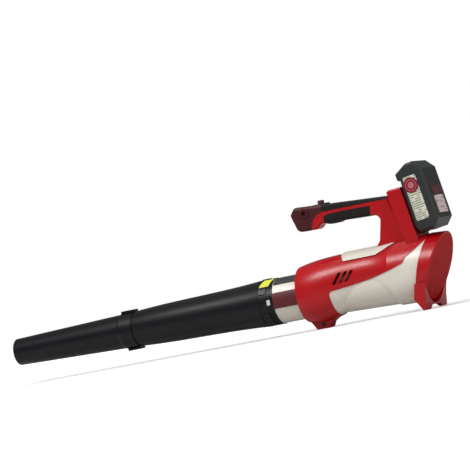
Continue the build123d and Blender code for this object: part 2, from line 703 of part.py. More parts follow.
RING_X0 = TUBE_REAR_X + GAP
RING_X1 = RING_X0 + LOCK_RING_L
with BuildPart() as lock_ring:
    add(neck_wrap(RING_X0, RING_X1, NECK_SPIGOT_R + SLIDE_FIT, LOCK_RING_R - 1))
    for x0, x1 in ((RING_X0, RING_X0 + 15), (RING_X0 + 17, RING_X0 + 20), (RING_X0 + 22, RING_X1)):
        add(neck_wrap(x0, x1, NECK_SPIGOT_R + 1, LOCK_RING_R))
    with BuildSketch(Plane.YZ.offset(RING_X0 + 1)):
        with Locations((0, AXIS_Z)):
            with PolarLocations(LOCK_RING_R, LOCK_RIBS, start_angle=-30, angular_range=60 * LOCK_RIBS):
                Rectangle(2.4, 9)
    extrude(amount=13)
save(lock_ring, "lock_ring")


def patch_on_neck(x0, x1, lean, half, radius, film, angle):
    """Film on the neck: a parallelogram from x0 to x1, half wide, facing angle degrees up."""
    a = math.radians(angle)
    with BuildPart() as patch:
        add(neck_wrap(x0 - 5, x1 + lean + 5, radius, radius + film))
        facing = Plane(origin=(0, 0, AXIS_Z), x_dir=(1, 0, 0), z_dir=(0, -math.cos(a), math.sin(a)))
        with BuildSketch(facing):
            with BuildLine():
                Polyline((x0, -half), (x1, -half), (x1 + lean, half), (x0 + lean, half), close=True)
            make_face()
        extrude(amount=60, mode=Mode.INTERSECT)
    return patch.part


with BuildPart() as ring_label:
    add(patch_on_neck(RING_X0 + 1, RING_X0 + 18, 6, 10, LOCK_RING_R, FILM, 60))
save(ring_label, "ring_label")

with BuildPart() as neck_patch:
    add(patch_on_neck(NECK_X + 1, SHELL_FRONT_X - 2, 0, 13, NECK_R, FILM, 66))
save(neck_patch, "neck_patch")

with BuildPart() as neck_band:
    add(patch_on_neck(NECK_X + 0.5, SHELL_FRONT_X - 0.5, 0, 13, NECK_R, 2.0, 3))
save(neck_band, "neck_band")

# ---- pale lower cover under the red shell -------------------------------------------------
with BuildPart() as lower_cover:
    add(shell_solid(COVER_INSET))
    add(shell_solid(COVER_INSET + SHELL_WALL), mode=Mode.SUBTRACT)
    add(upper_edge, mode=Mode.INTERSECT)
    split(bisect_by=ring_front, keep=Keep.BOTTOM)
    add(foot_blank.part, mode=Mode.SUBTRACT)
    add(duct_solid.part, mode=Mode.SUBTRACT)
with BuildPart() as cover_kept:
    add(lower_cover.solids().sort_by(SortBy.VOLUME)[-1])
save(cover_kept, "lower_cover")

# ---- motor mount with swept vanes, pressed into the duct ----------------------------------
MOTOR_X1 = MOTOR_X0 + MOTOR_L
POD_R = MOTOR_R + 2.5
VANE_X0 = MOTOR_X0 + 8
VANE_X1 = MOTOR_X1 - 8
VANE_H = duct_bore(VANE_X1) - POD_R + 6
with BuildPart() as pod_blank:
    with BuildSketch(Plane.XZ):
        with BuildLine():
            Polyline(
                (VANE_X0, AXIS_Z), (VANE_X0, AXIS_Z + duct_bore(VANE_X0)),
                (VANE_X1, AXIS_Z + duct_bore(VANE_X1)), (VANE_X1, AXIS_Z), close=True,
            )
        make_face()
    revolve(axis=AXIS)
with BuildPart() as motor_mount:
    for k in range(VANES):
        with BuildSketch(Plane(origin=(VANE_X0, 0, AXIS_Z), x_dir=(0, 1, 0), z_dir=(1, 0, 0))):
            with PolarLocations(POD_R - 2 + VANE_H / 2, 1, start_angle=360 / VANES * k + 12):
                Rectangle(VANE_H, 2.2)
        extrude(amount=VANE_X1 - VANE_X0)
    add(pod_blank.part, mode=Mode.INTERSECT)
    with BuildSketch(Plane.YZ.offset(MOTOR_X0)):
        with Locations((0, AXIS_Z)):
            Circle(POD_R)
    extrude(amount=MOTOR_L)
    with BuildSketch(Plane.YZ.offset(MOTOR_X0)):
        with Locations((0, AXIS_Z)):
            Circle(MOTOR_R)
    extrude(amount=MOTOR_L, mode=Mode.SUBTRACT)
save(motor_mount, "motor_mount")

with BuildPart() as motor_can:
    with BuildSketch(Plane.YZ.offset(MOTOR_X0)):
        with Locations((0, AXIS_Z)):
            Circle(MOTOR_R)
    extrude(amount=MOTOR_L)
    with BuildSketch(Plane.YZ.offset(MOTOR_X0 + BEARING_W + 1)):
        with Locations((0, AXIS_Z)):
            Circle(MOTOR_R - 6)
    extrude(amount=MOTOR_L - 2 * BEARING_W - 2, mode=Mode.SUBTRACT)
    with BuildSketch(Plane.YZ.offset(MOTOR_X0)):
        with Locations((0, AXIS_Z)):
            Circle(BEARING_R)
    extrude(amount=MOTOR_L, mode=Mode.SUBTRACT)
save(motor_can, "motor_stator")

for name, x in (("bearing_front", MOTOR_X0), ("bearing_rear", MOTOR_X1 - BEARING_W)):
    with BuildPart() as bearing:
        with BuildSketch(Plane.YZ.offset(x)):
            with Locations((0, AXIS_Z)):
                Circle(BEARING_R)
                Circle(SHAFT_R + SLIDE_FIT / 2, mode=Mode.SUBTRACT)
        extrude(amount=BEARING_W)
    save(bearing, name)

FAN_X0 = FAN_X - FAN_L / 2
with BuildPart() as rotor:
    with BuildSketch(Plane.YZ.offset(MOTOR_X0 + 0.5)):
        with Locations((0, AXIS_Z)):
            Circle(SHAFT_R)
    extrude(amount=FAN_X + FAN_L / 2 + 6 - MOTOR_X0)
    with BuildSketch(Plane.YZ.offset(MOTOR_X0 + BEARING_W + 2)):
        with Locations((0, AXIS_Z)):
            Circle(MOTOR_R - 7)
    extrude(amount=MOTOR_L - 2 * BEARING_W - 4)
save(rotor, "motor_rotor")

with BuildPart() as fan:
    with BuildSketch(Plane.YZ.offset(FAN_X0)):
        with Locations((0, AXIS_Z)):
            Circle(FAN_HUB_R)
    extrude(amount=FAN_L)
    fillet(fan.faces().sort_by(Axis.X)[-1].edges(), 4)
    for k in range(BLADES):
        a = math.radians(360 / BLADES * k)
        radial = Vector(0, math.cos(a), math.sin(a))
        root = Vector(FAN_X, 0, AXIS_Z) + radial * (FAN_HUB_R - 3)
        along = Vector(1, 0, 0) * math.cos(math.radians(38)) + \
            radial.cross(Vector(1, 0, 0)) * math.sin(math.radians(38))
        with BuildSketch(Plane(origin=root, x_dir=along, z_dir=radial)):
            SlotOverall(FAN_L * 1.15, 2.4)
        extrude(amount=duct_bore(FAN_X) - FAN_HUB_R + 6)
    with BuildSketch(Plane.YZ.offset(FAN_X0)):
        with Locations((0, AXIS_Z)):
            Circle(duct_bore(FAN_X0) - FAN_TIP_GAP)
    extrude(amount=FAN_L, mode=Mode.INTERSECT)
    with BuildSketch(Plane.YZ.offset(FAN_X0)):
        with Locations((0, AXIS_Z)):
            Circle(SHAFT_R)
    extrude(amount=FAN_L, mode=Mode.SUBTRACT)
save(fan, "fan")

with BuildPart() as fan_nut:
    with BuildSketch(Plane.YZ.offset(FAN_X0 + FAN_L)):
        with Locations((0, AXIS_Z)):
            RegularPolygon(5, 6)
            Circle(SHAFT_R, mode=Mode.SUBTRACT)
    extrude(amount=4)
save(fan_nut, "fan_nut")

with BuildPart() as tail_cone:
    with BuildSketch(Plane.XZ):
        with BuildLine():
            nose = Spline((MOTOR_X0 - 48, AXIS_Z), (MOTOR_X0 - 30, AXIS_Z + 10), (MOTOR_X0, AXIS_Z + POD_R),
                          tangents=((0.3, 1), (1, 0.1)))
            Polyline(nose @ 1, (MOTOR_X0, AXIS_Z + POD_R - 2), (MOTOR_X0 - 5, AXIS_Z + POD_R - 4),
                     (MOTOR_X0 - 5, AXIS_Z), nose @ 0)
        make_face()
    revolve(axis=AXIS)
save(tail_cone, "tail_cone")

# ---- battery rail and terminals on the plate ----------------------------------------------
TOOTH_U0 = 28.0           # latch tooth pocket in the rail
TOOTH_U1 = 33.0
TOOTH_HALF_W = 6.0
with BuildPart() as rail:
    add(plate_box(0, RAIL_NECK_T, RAIL_U0, RAIL_U1, RAIL_NECK_HALF_W))
    add(plate_box(RAIL_NECK_T, RAIL_T, RAIL_U0, RAIL_U1, RAIL_HEAD_HALF_W))
    add(plate_box(RAIL_NECK_T, RAIL_T + 1, TOOTH_U0 - GAP, TOOTH_U1 + GAP, TOOTH_HALF_W + GAP),
        mode=Mode.SUBTRACT)
save(rail, "battery_rail")

with BuildPart() as terminal_block:
    add(plate_box(0, RAIL_T - 0.3, RAIL_U0 - 8, RAIL_U0, RAIL_NECK_HALF_W - 0.5))
save(terminal_block, "terminal_block")

BLADE_Y = (-10.0, 0.0, 10.0)
with BuildPart() as terminals:
    for y in BLADE_Y:
        add(plate_box(RAIL_T, RAIL_T + 4, RAIL_U0 + 1, RAIL_U0 + 11, 0.5, y=y))
save(terminals, "terminals")

# ---- battery ------------------------------------------------------------------------------
CHANNEL_U1 = RAIL_U1 + RAIL_FIT
LATCH_U0 = CHANNEL_U1 + 9
LATCH_U1 = LATCH_U0 + 14
LATCH_HALF_W = 11.0


def battery_block(inset):
    """Battery case body drawn in by inset: chamfered side outline, softened long edges."""
    n0, n1 = BAT_N0 + inset, BAT_N1 - inset
    u0, u1 = BAT_U0 + inset, BAT_U1 - inset
    c = BAT_CHAMFER - 0.6 * inset
    pts = [(n0 + 6, u0), (n1 - c, u0), (n1, u0 + c), (n1, u1 - c - 3), (n1 - c, u1),
           (n0 + 17, u1), (n0 - BROW, u1 - 11), (n0 - BROW, u1 - 21), (n0, u1 - 25), (n0, u0 + 8)]
    with BuildPart() as block:
        add(side_block([plate_point(n, u) for n, u in pts], BAT_HALF_W - inset))
        if not inset:
            sides = block.faces().sort_by(Axis.Y)
            chamfer(sides[0].edges() + sides[-1].edges(), 3.5)
    return block.part


with BuildPart() as bat_case:
    add(battery_block(0))
    add(plate_box(GAP, BAT_N0 + JOIN, BAT_U0 + 12, RAIL_U1 + 6, RAIL_HEAD_HALF_W + 5))
    add(battery_block(BAT_WALL), mode=Mode.SUBTRACT)
    add(plate_box(BAT_N0 - 1, 15, BAT_U0 + 5, LATCH_U1 + 4, RAIL_HEAD_HALF_W + 4))
    add(plate_box(-1, RAIL_NECK_T - RAIL_FIT, BAT_U0 - 5, CHANNEL_U1, RAIL_NECK_HALF_W + RAIL_FIT),
        mode=Mode.SUBTRACT)
    add(plate_box(RAIL_NECK_T - RAIL_FIT - JOIN, RAIL_T + RAIL_FIT, BAT_U0 - 5, CHANNEL_U1,
                  RAIL_HEAD_HALF_W + RAIL_FIT), mode=Mode.SUBTRACT)
    for y in BLADE_Y:
        add(plate_box(RAIL_T, RAIL_T + 5, BAT_U0 - 5, RAIL_U0 + 12, 0.5 + RAIL_FIT, y=y),
            mode=Mode.SUBTRACT)
    add(plate_box(-BROW - 1, 13.5, LATCH_U0 - GAP, LATCH_U1 + GAP, LATCH_HALF_W + GAP),
        mode=Mode.SUBTRACT)
    add(plate_box(RAIL_T, 13.5, TOOTH_U0 - 1, LATCH_U0, TOOTH_HALF_W + GAP), mode=Mode.SUBTRACT)
for name, keep in (("battery_case_front", Keep.BOTTOM), ("battery_case_rear", Keep.TOP)):
    with BuildPart() as half:
        add(bat_case.part)
        split(bisect_by=plate_plane(CASE_SPLIT), keep=keep)
    save(half, name)

with BuildPart() as latch:
    add(plate_box(BAT_N0 - 2.5, 8.5, LATCH_U0, LATCH_U1, LATCH_HALF_W, corner=2))
    add(plate_box(RAIL_T + RAIL_FIT, RAIL_T + RAIL_FIT + 2, TOOTH_U0, LATCH_U0 + JOIN, TOOTH_HALF_W - GAP))
    add(plate_box(RAIL_NECK_T + 1.5, RAIL_T + RAIL_FIT + JOIN, TOOTH_U0, TOOTH_U1, TOOTH_HALF_W - GAP))
save(latch, "battery_latch")

with BuildPart() as latch_spring:
    with BuildLine() as coil:
        Helix(pitch=1.6, height=13.5 - 8.5 - 0.8, radius=3, cone_angle=0)
    with BuildSketch(Plane(origin=coil.line @ 0, z_dir=coil.line % 0)):
        Circle(0.35)
    sweep()
spring_at = Plane(origin=PLATE_O + NORM * 8.9 + UP * ((LATCH_U0 + LATCH_U1) / 2), x_dir=(0, 1, 0), z_dir=NORM)
with BuildPart() as placed_spring:
    add(latch_spring.part.moved(spring_at.location))
save(placed_spring, "battery_latch_spring")

CELL_N = BAT_N1 - BAT_WALL - CELL_R - 1.0
with BuildPart() as cells:
    for k in range(CELLS):
        x, z = plate_point(CELL_N, BAT_MID_U + (k - (CELLS - 1) / 2) * CELL_PITCH)
        with BuildSketch(Plane.XZ):
            with Locations((x, z)):
                Circle(CELL_R)
        extrude(amount=CELL_L / 2, both=True)
save(cells, "battery_cells")

with BuildPart() as cell_holder:
    for side in (1, -1):
        add(plate_box(CASE_SPLIT + 0.5, BAT_N1 - BAT_WALL, BAT_MID_U - CELL_PITCH * 2.5 - 1,
                      BAT_MID_U + CELL_PITCH * 2.5 + 1, 4, y=side * (CELL_L / 2 - 2)))
    add(battery_block(BAT_WALL), mode=Mode.INTERSECT)
    add(cells.part, mode=Mode.SUBTRACT)
save(cell_holder, "cell_holder")

LABEL_N = BAT_N0 + 17.0
for side, name in ((-1, "battery_label_right"), (1, "battery_label_left")):
    x, z = plate_point(LABEL_N, BAT_MID_U)
    flank = Plane(origin=(x, side * BAT_HALF_W, z), x_dir=NORM * -side, z_dir=(0, side, 0))
    with BuildPart() as label:
        with BuildSketch(flank):
            with Locations((0, -1.5)):
                RectangleRounded(22, 72, 2.5)
        extrude(amount=LABEL_T)
    save(label, name)

with BuildPart() as rear_label:
    add(plate_box(BAT_N1, BAT_N1 + LABEL_T, -12, 17, 22, corner=1.5))
    add(plate_box(BAT_N1, BAT_N1 + LABEL_T, 19.5, 33, 22, corner=1.5))
save(rear_label, "battery_label_rear")
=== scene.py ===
"""Handheld cordless leaf blower: finishes, fine detail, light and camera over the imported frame."""
import json
import logging
import math
from dataclasses import dataclass, field
from enum import Enum
from typing import Sequence

import bmesh
import bpy
from mathutils import Matrix, Vector


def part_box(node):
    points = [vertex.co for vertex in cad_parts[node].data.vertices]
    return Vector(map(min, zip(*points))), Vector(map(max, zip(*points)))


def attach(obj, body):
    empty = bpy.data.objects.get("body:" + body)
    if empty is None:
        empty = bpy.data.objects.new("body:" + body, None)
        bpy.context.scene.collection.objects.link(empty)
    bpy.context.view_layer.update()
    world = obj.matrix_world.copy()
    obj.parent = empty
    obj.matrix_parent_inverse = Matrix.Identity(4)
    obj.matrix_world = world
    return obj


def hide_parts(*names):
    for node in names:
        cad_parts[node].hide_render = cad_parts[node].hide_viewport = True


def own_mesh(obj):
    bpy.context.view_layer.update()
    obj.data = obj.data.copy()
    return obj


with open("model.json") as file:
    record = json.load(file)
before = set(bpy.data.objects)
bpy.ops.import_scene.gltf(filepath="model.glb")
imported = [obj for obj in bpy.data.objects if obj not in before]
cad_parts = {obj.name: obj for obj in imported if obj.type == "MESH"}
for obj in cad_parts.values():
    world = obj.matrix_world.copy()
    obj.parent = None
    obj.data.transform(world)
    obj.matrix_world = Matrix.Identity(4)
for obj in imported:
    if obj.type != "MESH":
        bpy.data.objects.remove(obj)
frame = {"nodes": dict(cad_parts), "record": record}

LOG = logging.getLogger("blower")
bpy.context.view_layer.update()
MM = 0.001
AXIS_Z = 58.0 * MM


# ---- node helpers --------------------------------------------------------------------------
def linear(hex_value: str) -> tuple[float, float, float, float]:
    """Turn an sRGB hex colour into linear light.

    Args:
        hex_value: Six hex digits, with or without a leading hash.

    Returns:
        Linear red, green, blue and an alpha of one.
    """
    digits = hex_value.lstrip("#")
    out = []
    for k in (0, 2, 4):
        c = int(digits[k:k + 2], 16) / 255
        out.append(c / 12.92 if c <= 0.04045 else ((c + 0.055) / 1.055) ** 2.4)
    return (out[0], out[1], out[2], 1.0)


def add_node(tree: bpy.types.NodeTree, kind: str, settings: dict | None = None,
             links: dict | None = None) -> bpy.types.Node:
    """Add one node with its settings and links.

    Args:
        tree: The shader or geometry tree.
        kind: The node's type name.
        settings: Attribute names, or input names, to values.
        links: Input name or index to the output socket that feeds it.

    Returns:
        The new node.
    """
    node = tree.nodes.new(kind)
    for name, value in (settings or {}).items():
        if isinstance(name, str) and name not in node.inputs:
            setattr(node, name, value)
        else:
            node.inputs[name].default_value = value
    for name, source in (links or {}).items():
        tree.links.new(source, node.inputs[name])
    return node


def feed(tree: bpy.types.NodeTree, socket: bpy.types.NodeSocket, value: object) -> None:
    """Give an input its value, or link what feeds it.

    Args:
        tree: The shader or geometry tree.
        socket: The input.
        value: A plain value, or the output socket that feeds it.
    """
    if isinstance(value, bpy.types.NodeSocket):
        tree.links.new(value, socket)
    else:
        socket.default_value = value


def maths(tree: bpy.types.NodeTree, operation: str, *terms: object) -> bpy.types.NodeSocket:
    """Add a math node.

    Args:
        tree: The shader or geometry tree.
        operation: What it works out.
        terms: Numbers or sockets, in order.

    Returns:
        The result's socket.
    """
    node = add_node(tree, "ShaderNodeMath", {"operation": operation})
    for socket, term in zip(node.inputs, terms):
        feed(tree, socket, term)
    return node.outputs[0]


def vector_of(tree: bpy.types.NodeTree, **parts: object) -> bpy.types.NodeSocket:
    """Join numbers or sockets into a vector.

    Args:
        tree: The shader or geometry tree.
        parts: X, Y and Z, each zero when left out.

    Returns:
        The vector's socket.
    """
    node = add_node(tree, "ShaderNodeCombineXYZ")
    for name, value in parts.items():
        feed(tree, node.inputs[name], value)
    return node.outputs[0]


def distance_along(tree: bpy.types.NodeTree, way: Sequence[float],
                   place: bpy.types.NodeSocket) -> bpy.types.NodeSocket:
    """Measure how far a position lies along a direction.

    Args:
        tree: The shader tree.
        way: The direction.
        place: The position.

    Returns:
        The distance's socket.
    """
    node = add_node(tree, "ShaderNodeVectorMath", {"operation": "DOT_PRODUCT", 1: way}, {0: place})
    return node.outputs["Value"]


def ramp(tree: bpy.types.NodeTree, value: bpy.types.NodeSocket, low: float, high: float,
         start: float = 0.0, end: float = 1.0) -> bpy.types.NodeSocket:
    """Map a value from one range to another, held at the ends.

    Args:
        tree: The shader tree.
        value: What is mapped.
        low: The result at start.
        high: The result at end.
        start: The value that gives low.
        end: The value that gives high.

    Returns:
        The result's socket.
    """
    node = add_node(tree, "ShaderNodeMapRange", {"From Min": start, "From Max": end,
                                                 "To Min": low, "To Max": high}, {"Value": value})
    return node.outputs["Result"]


def noise(tree: bpy.types.NodeTree, place: bpy.types.NodeSocket, size_mm: float, detail: float,
          **more: float) -> bpy.types.NodeSocket:
    """Add a noise of a given feature size.

    Args:
        tree: The shader tree.
        place: The position.
        size_mm: Feature size in millimetres.
        detail: Octaves.
        more: Further inputs of the noise node.

    Returns:
        The noise value's socket.
    """
    node = add_node(tree, "ShaderNodeTexNoise",
                    {"Scale": 1 / (size_mm * MM), "Detail": detail, **more}, {"Vector": place})
    return node.outputs["Fac"]


def mixed(tree: bpy.types.NodeTree, share: bpy.types.NodeSocket, first: object,
          second: object) -> bpy.types.NodeSocket:
    """Mix two colours.

    Args:
        tree: The shader tree.
        share: How much of the second shows.
        first: A colour or its socket.
        second: A colour or its socket.

    Returns:
        The mixed colour's socket.
    """
    node = add_node(tree, "ShaderNodeMixRGB", {}, {"Fac": share})
    feed(tree, node.inputs["Color1"], first)
    feed(tree, node.inputs["Color2"], second)
    return node.outputs["Color"]


def tinted(tree: bpy.types.NodeTree, colour: object,
           value: bpy.types.NodeSocket) -> bpy.types.NodeSocket:
    """Brighten or darken a colour.

    Args:
        tree: The shader tree.
        colour: A colour or its socket.
        value: The brightness factor.

    Returns:
        The new colour's socket.
    """
    node = add_node(tree, "ShaderNodeHueSaturation", {}, {"Value": value})
    feed(tree, node.inputs["Color"], colour)
    return node.outputs["Color"]


def new_material(name: str) -> tuple[bpy.types.Material, bpy.types.NodeTree,
                                     bpy.types.Node, bpy.types.NodeSocket]:
    """Start a material on Object coordinates.

    Args:
        name: The material's name.

    Returns:
        The material, its tree, its shader and the position's socket.
    """
    mat = bpy.data.materials.new(name)
    mat.use_nodes = True
    tree = mat.node_tree
    place = add_node(tree, "ShaderNodeTexCoord").outputs["Object"]
    return mat, tree, tree.nodes["Principled BSDF"], place


# ---- finishes ------------------------------------------------------------------------------
class Grain(Enum):
    """How a moulded surface was textured in its tool."""

    POLISHED = 0.0
    SATIN = 0.35
    SPARK = 0.8


@dataclass(frozen=True)
class Seam:
    """A joint line between two mouldings: the plane it lies in and half its width."""

    normal: tuple[float, float, float]
    offset: float
    half_width: float = 0.22 * MM

    def mask(self, tree: bpy.types.NodeTree, place: bpy.types.NodeSocket) -> bpy.types.NodeSocket:
        """Build nodes that give one on the line and zero off it.

        Args:
            tree: The shader tree.
            place: The position.

        Returns:
            The mask's socket.
        """
        off = maths(tree, "SUBTRACT", distance_along(tree, self.normal, place), self.offset)
        return maths(tree, "LESS_THAN", maths(tree, "ABSOLUTE", off), self.half_width)


@dataclass(frozen=True)
class Moulded:
    """Injection-moulded plastic: one colour, faint flow mottling, fine grain and scuffs."""

    name: str
    colour: str
    worn: str
    roughness: float = 0.38
    grain: Grain = Grain.SATIN
    grain_mm: float = 0.8
    coat: float = 0.0
    seam: Seam | None = None
    knurl_mm: float = 0.0
    specular: float = 0.5
    MOTTLE_MM, SCUFF_MM = 22.0, 6.0
    WEAR_STARTS, WEAR_FULL, WEAR_MOST = 0.56, 0.74, 0.55
    DARKEST, LIGHTEST = 0.90, 1.08
    SMOOTHER, ROUGHER = 0.07, 0.09
    PLASTIC_IOR, COAT_ROUGHNESS = 1.5, 0.12
    SEAM_SHADE = "16090a"
    GRAIN_SHARE, GRAIN_DEPTH = 0.35, 0.15 * MM

    def build(self) -> bpy.types.Material:
        """Build the material.

        Returns:
            A node-based material on Object coordinates.
        """
        mat, tree, shader, place = new_material(self.name)
        mottle = noise(tree, place, self.MOTTLE_MM, 4.0, Roughness=0.6)
        scuff = noise(tree, place, self.SCUFF_MM, 6.0, Roughness=0.72, Distortion=0.4)
        wear = ramp(tree, scuff, 0.0, self.WEAR_MOST, self.WEAR_STARTS, self.WEAR_FULL)
        base = mixed(tree, wear, linear(self.colour), linear(self.worn))
        colour = tinted(tree, base, ramp(tree, mottle, self.DARKEST, self.LIGHTEST))
        if self.seam:
            mask = self.seam.mask(tree, place)
            colour = mixed(tree, mask, colour, linear(self.SEAM_SHADE))
        rough = ramp(tree, scuff, self.roughness - self.SMOOTHER, self.roughness + self.ROUGHER)
        for name, value in (("Base Color", colour), ("Roughness", rough), ("IOR", self.PLASTIC_IOR),
                            ("Specular IOR Level", self.specular), ("Coat Weight", self.coat),
                            ("Coat Roughness", self.COAT_ROUGHNESS)):
            feed(tree, shader.inputs[name], value)
        if self.grain is not Grain.POLISHED:
            pits = noise(tree, place, self.grain_mm, 3.0)
            strength = self.grain.value * self.GRAIN_SHARE
            bump = add_node(tree, "ShaderNodeBump",
                            {"Strength": strength, "Distance": self.GRAIN_DEPTH}, {"Height": pits})
            if self.knurl_mm:
                self.cut_knurl(tree, place, bump)
            feed(tree, shader.inputs["Normal"], bump.outputs["Normal"])
        return mat

    def cut_knurl(self, tree: bpy.types.NodeTree, place: bpy.types.NodeSocket,
                  bump: bpy.types.Node) -> None:
        """Add crossed grip grooves under the grain.

        Args:
            tree: The shader tree.
            place: The position.
            bump: The grain's bump node, which takes the grooves' normal.
        """
        ridges = [maths(tree, "PINGPONG", distance_along(tree, (1.0, lean, lean), place),
                        self.knurl_mm * MM) for lean in (1.0, -1.0)]
        groove = add_node(tree, "ShaderNodeBump", {"Strength": 0.6, "Distance": 1.0},
                          {"Height": maths(tree, "MINIMUM", *ridges)})
        feed(tree, bump.inputs["Normal"], groove.outputs["Normal"])


@dataclass(frozen=True)
class Printed:
    """Printed vinyl film: rows of short generic bars in one or two blocks, laid along the pack."""

    name: str
    paper: str
    ink: str
    across: tuple[float, float, float]
    along: tuple[float, float, float]
    row_mm: float = 3.4
    bar_mm: float = 5.0
    fill: float = 0.5
    split: float | None = None
    above: str = "5c1420"
    BAR_HEIGHT = 0.55           # share of a row that the bar fills
    FADE_MM = 9.0
    FADED, FRESH = 0.88, 1.1
    GLOSSY, MATT = 0.28, 0.45

    def build(self) -> bpy.types.Material:
        """Build the material.

        Returns:
            A node-based material on Object coordinates.
        """
        mat, tree, shader, place = new_material(self.name)
        height = distance_along(tree, self.along, place)
        row = maths(tree, "DIVIDE", height, self.row_mm * MM)
        bar = maths(tree, "DIVIDE", distance_along(tree, self.across, place), self.bar_mm * MM)
        cell = vector_of(tree, X=maths(tree, "FLOOR", row), Y=maths(tree, "FLOOR", bar))
        pick = add_node(tree, "ShaderNodeTexWhiteNoise", {"noise_dimensions": "3D"},
                        {"Vector": cell})
        chosen = maths(tree, "LESS_THAN", pick.outputs["Value"], self.fill)
        in_bar = maths(tree, "LESS_THAN", maths(tree, "FRACT", row), self.BAR_HEIGHT)
        colour = mixed(tree, maths(tree, "MULTIPLY", chosen, in_bar),
                       linear(self.paper), linear(self.ink))
        if self.split is not None:
            high = maths(tree, "GREATER_THAN", height, self.split)
            colour = mixed(tree, high, colour, linear(self.above))
        fade = noise(tree, place, self.FADE_MM, 4.0)
        colour = tinted(tree, colour, ramp(tree, fade, self.FADED, self.FRESH))
        feed(tree, shader.inputs["Base Color"], colour)
        feed(tree, shader.inputs["Roughness"], ramp(tree, fade, self.GLOSSY, self.MATT))
        return mat


@dataclass(frozen=True)
class Metal:
    """Machined or plated metal: fine turning marks and slight handling haze."""

    name: str
    colour: str
    roughness: float = 0.3
    turning_mm: float = 0.5
    HAZE_MM = 5.0
    DARKEST, LIGHTEST = 0.82, 1.1
    SMOOTHER, ROUGHER = 0.08, 0.12
    MARK_STRENGTH, MARK_DEPTH = 0.15, 0.05 * MM

    def build(self) -> bpy.types.Material:
        """Build the material.

        Returns:
            A node-based material on Object coordinates.
        """
        mat, tree, shader, place = new_material(self.name)
        haze = noise(tree, place, self.HAZE_MM, 5.0)
        colour = tinted(tree, linear(self.colour), ramp(tree, haze, self.DARKEST, self.LIGHTEST))
        rough = ramp(tree, haze, self.roughness - self.SMOOTHER, self.roughness + self.ROUGHER)
        bump = add_node(tree, "ShaderNodeBump", {"Strength": self.MARK_STRENGTH,
                                                 "Distance": self.MARK_DEPTH},
                        {"Height": noise(tree, place, self.turning_mm, 2.0)})
        for name, value in (("Base Color", colour), ("Roughness", rough), ("Metallic", 1.0),
                            ("Normal", bump.outputs["Normal"])):
            feed(tree, shader.inputs[name], value)
        return mat


JOINT_AXES = {j["name"]: tuple(j["axis"]) for j in frame["record"]["behaviour"]["joints"]}
PACK_UP = JOINT_AXES["battery_slide"]
PACK_OUT = JOINT_AXES["latch_press"]


def middle(node: str) -> Vector:
    """Give the middle of a node's box.

    Args:
        node: A CAD node.

    Returns:
        The middle at rest, in metres.
    """
    low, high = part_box(node)
    return (Vector(low) + Vector(high)) / 2


PACK_ORIGIN = Vector((358.5, 0, 152.5)) * MM         # on the plate that the pack slides along
CASE_JOINT = Seam(PACK_OUT, Vector(PACK_OUT).dot(PACK_ORIGIN) + 17.0 * MM)
BAR_JOINT = Vector(PACK_UP).dot(PACK_ORIGIN) + 18.2 * MM      # foot of the rear label's dark bar

FINISHES: dict[str, Moulded | Printed | Metal] = {
    "abs_red": Moulded("Red_ABS_satin", "b0050f", "ba1c23", 0.34, Grain.SATIN, 0.9, 0.1,
                       Seam((0.0, 1.0, 0.0), 0.0), specular=0.3),
    "abs_red_dark": Moulded("Maroon_ABS_mesh", "560911", "6d1a20", 0.5, Grain.SPARK, 1.2),
    "mesh_red": Moulded("Red_ABS_fine_mesh", "ba030c", "c00d16", 0.55, Grain.SPARK, 0.9,
                        specular=0.15),
    "pp_tube": Moulded("Blue_black_PP_tube", "0b0c10", "15171d", 0.36, Grain.SATIN, 1.0,
                       specular=0.28),
    "abs_beige": Moulded("Warm_grey_ABS", "ddd7ca", "cfc8b8", 0.42, Grain.SATIN, 0.9, 0.1),
    "tpe_black": Moulded("Black_TPE_overmould", "1a1b1d", "2e2d2f", 0.6, Grain.SPARK, 1.1),
    "tpe_grip": Moulded("Knurled_black_TPE_grip", "1a1314", "281c1d", 0.6, Grain.SPARK, 1.1,
                        knurl_mm=1.6, specular=0.25),
    "tpe_maroon": Moulded("Maroon_black_TPE_nose", "441319", "562127", 0.5, Grain.SPARK, 1.1,
                          specular=0.25),
    "pa_charcoal": Moulded("Charcoal_glass_filled_nylon", "1f2524", "363d3b", 0.46, Grain.SPARK,
                           0.9, seam=CASE_JOINT),
    "label_white": Printed("White_vinyl_label", "d9d3c4", "8f9a86", PACK_OUT, PACK_UP,
                           3.6, 5.0, 0.7),
    "label_yellow": Moulded("Yellow_vinyl_label", "d6d63c", "c2c23e", 0.4, Grain.POLISHED),
    "label_pink": Printed("Silvered_vinyl_label", "e8d4d1", "b79a9c", (0.0, 1.0, 0.0), PACK_UP,
                          5.0, 9.0, 0.5, BAR_JOINT),
    "label_white_plain": Moulded("Pale_grey_pad_print", "d2cec9", "b9b4ae", 0.4, Grain.POLISHED),
    "badge_maroon": Moulded("Maroon_vinyl_badge", "7d0f22", "8f2435", 0.35, Grain.POLISHED),
    "label_pink_plain": Moulded("Pale_pink_vinyl", "b9676f", "a65059", 0.4, Grain.POLISHED),
    "steel": Metal("Turned_steel", "a9abb0", 0.3),
    "steel_black": Moulded("Black_oxide_steel", "141414", "2a2a2a", 0.35, Grain.SATIN, 0.5),
    "brass": Metal("Drawn_brass", "c8a45a", 0.3),
    "pa_fan": Moulded("Black_nylon_fan", "1b1c1d", "303132", 0.5, Grain.SATIN, 0.8),
    "fr4": Moulded("Green_FR4_board", "14502a", "1c6a38", 0.4, Grain.POLISHED),
    "cell_wrap": Moulded("Blue_cell_shrink_wrap", "2b6c92", "3a7ea5", 0.3, Grain.POLISHED),
}
NODE_FINISH = {           # nodes whose look is finer than their record slot says
    "inlet_guard": "mesh_red", "grip_top": "tpe_grip", "grip_lower": "tpe_grip",
    "grip_cap": "tpe_maroon",
}


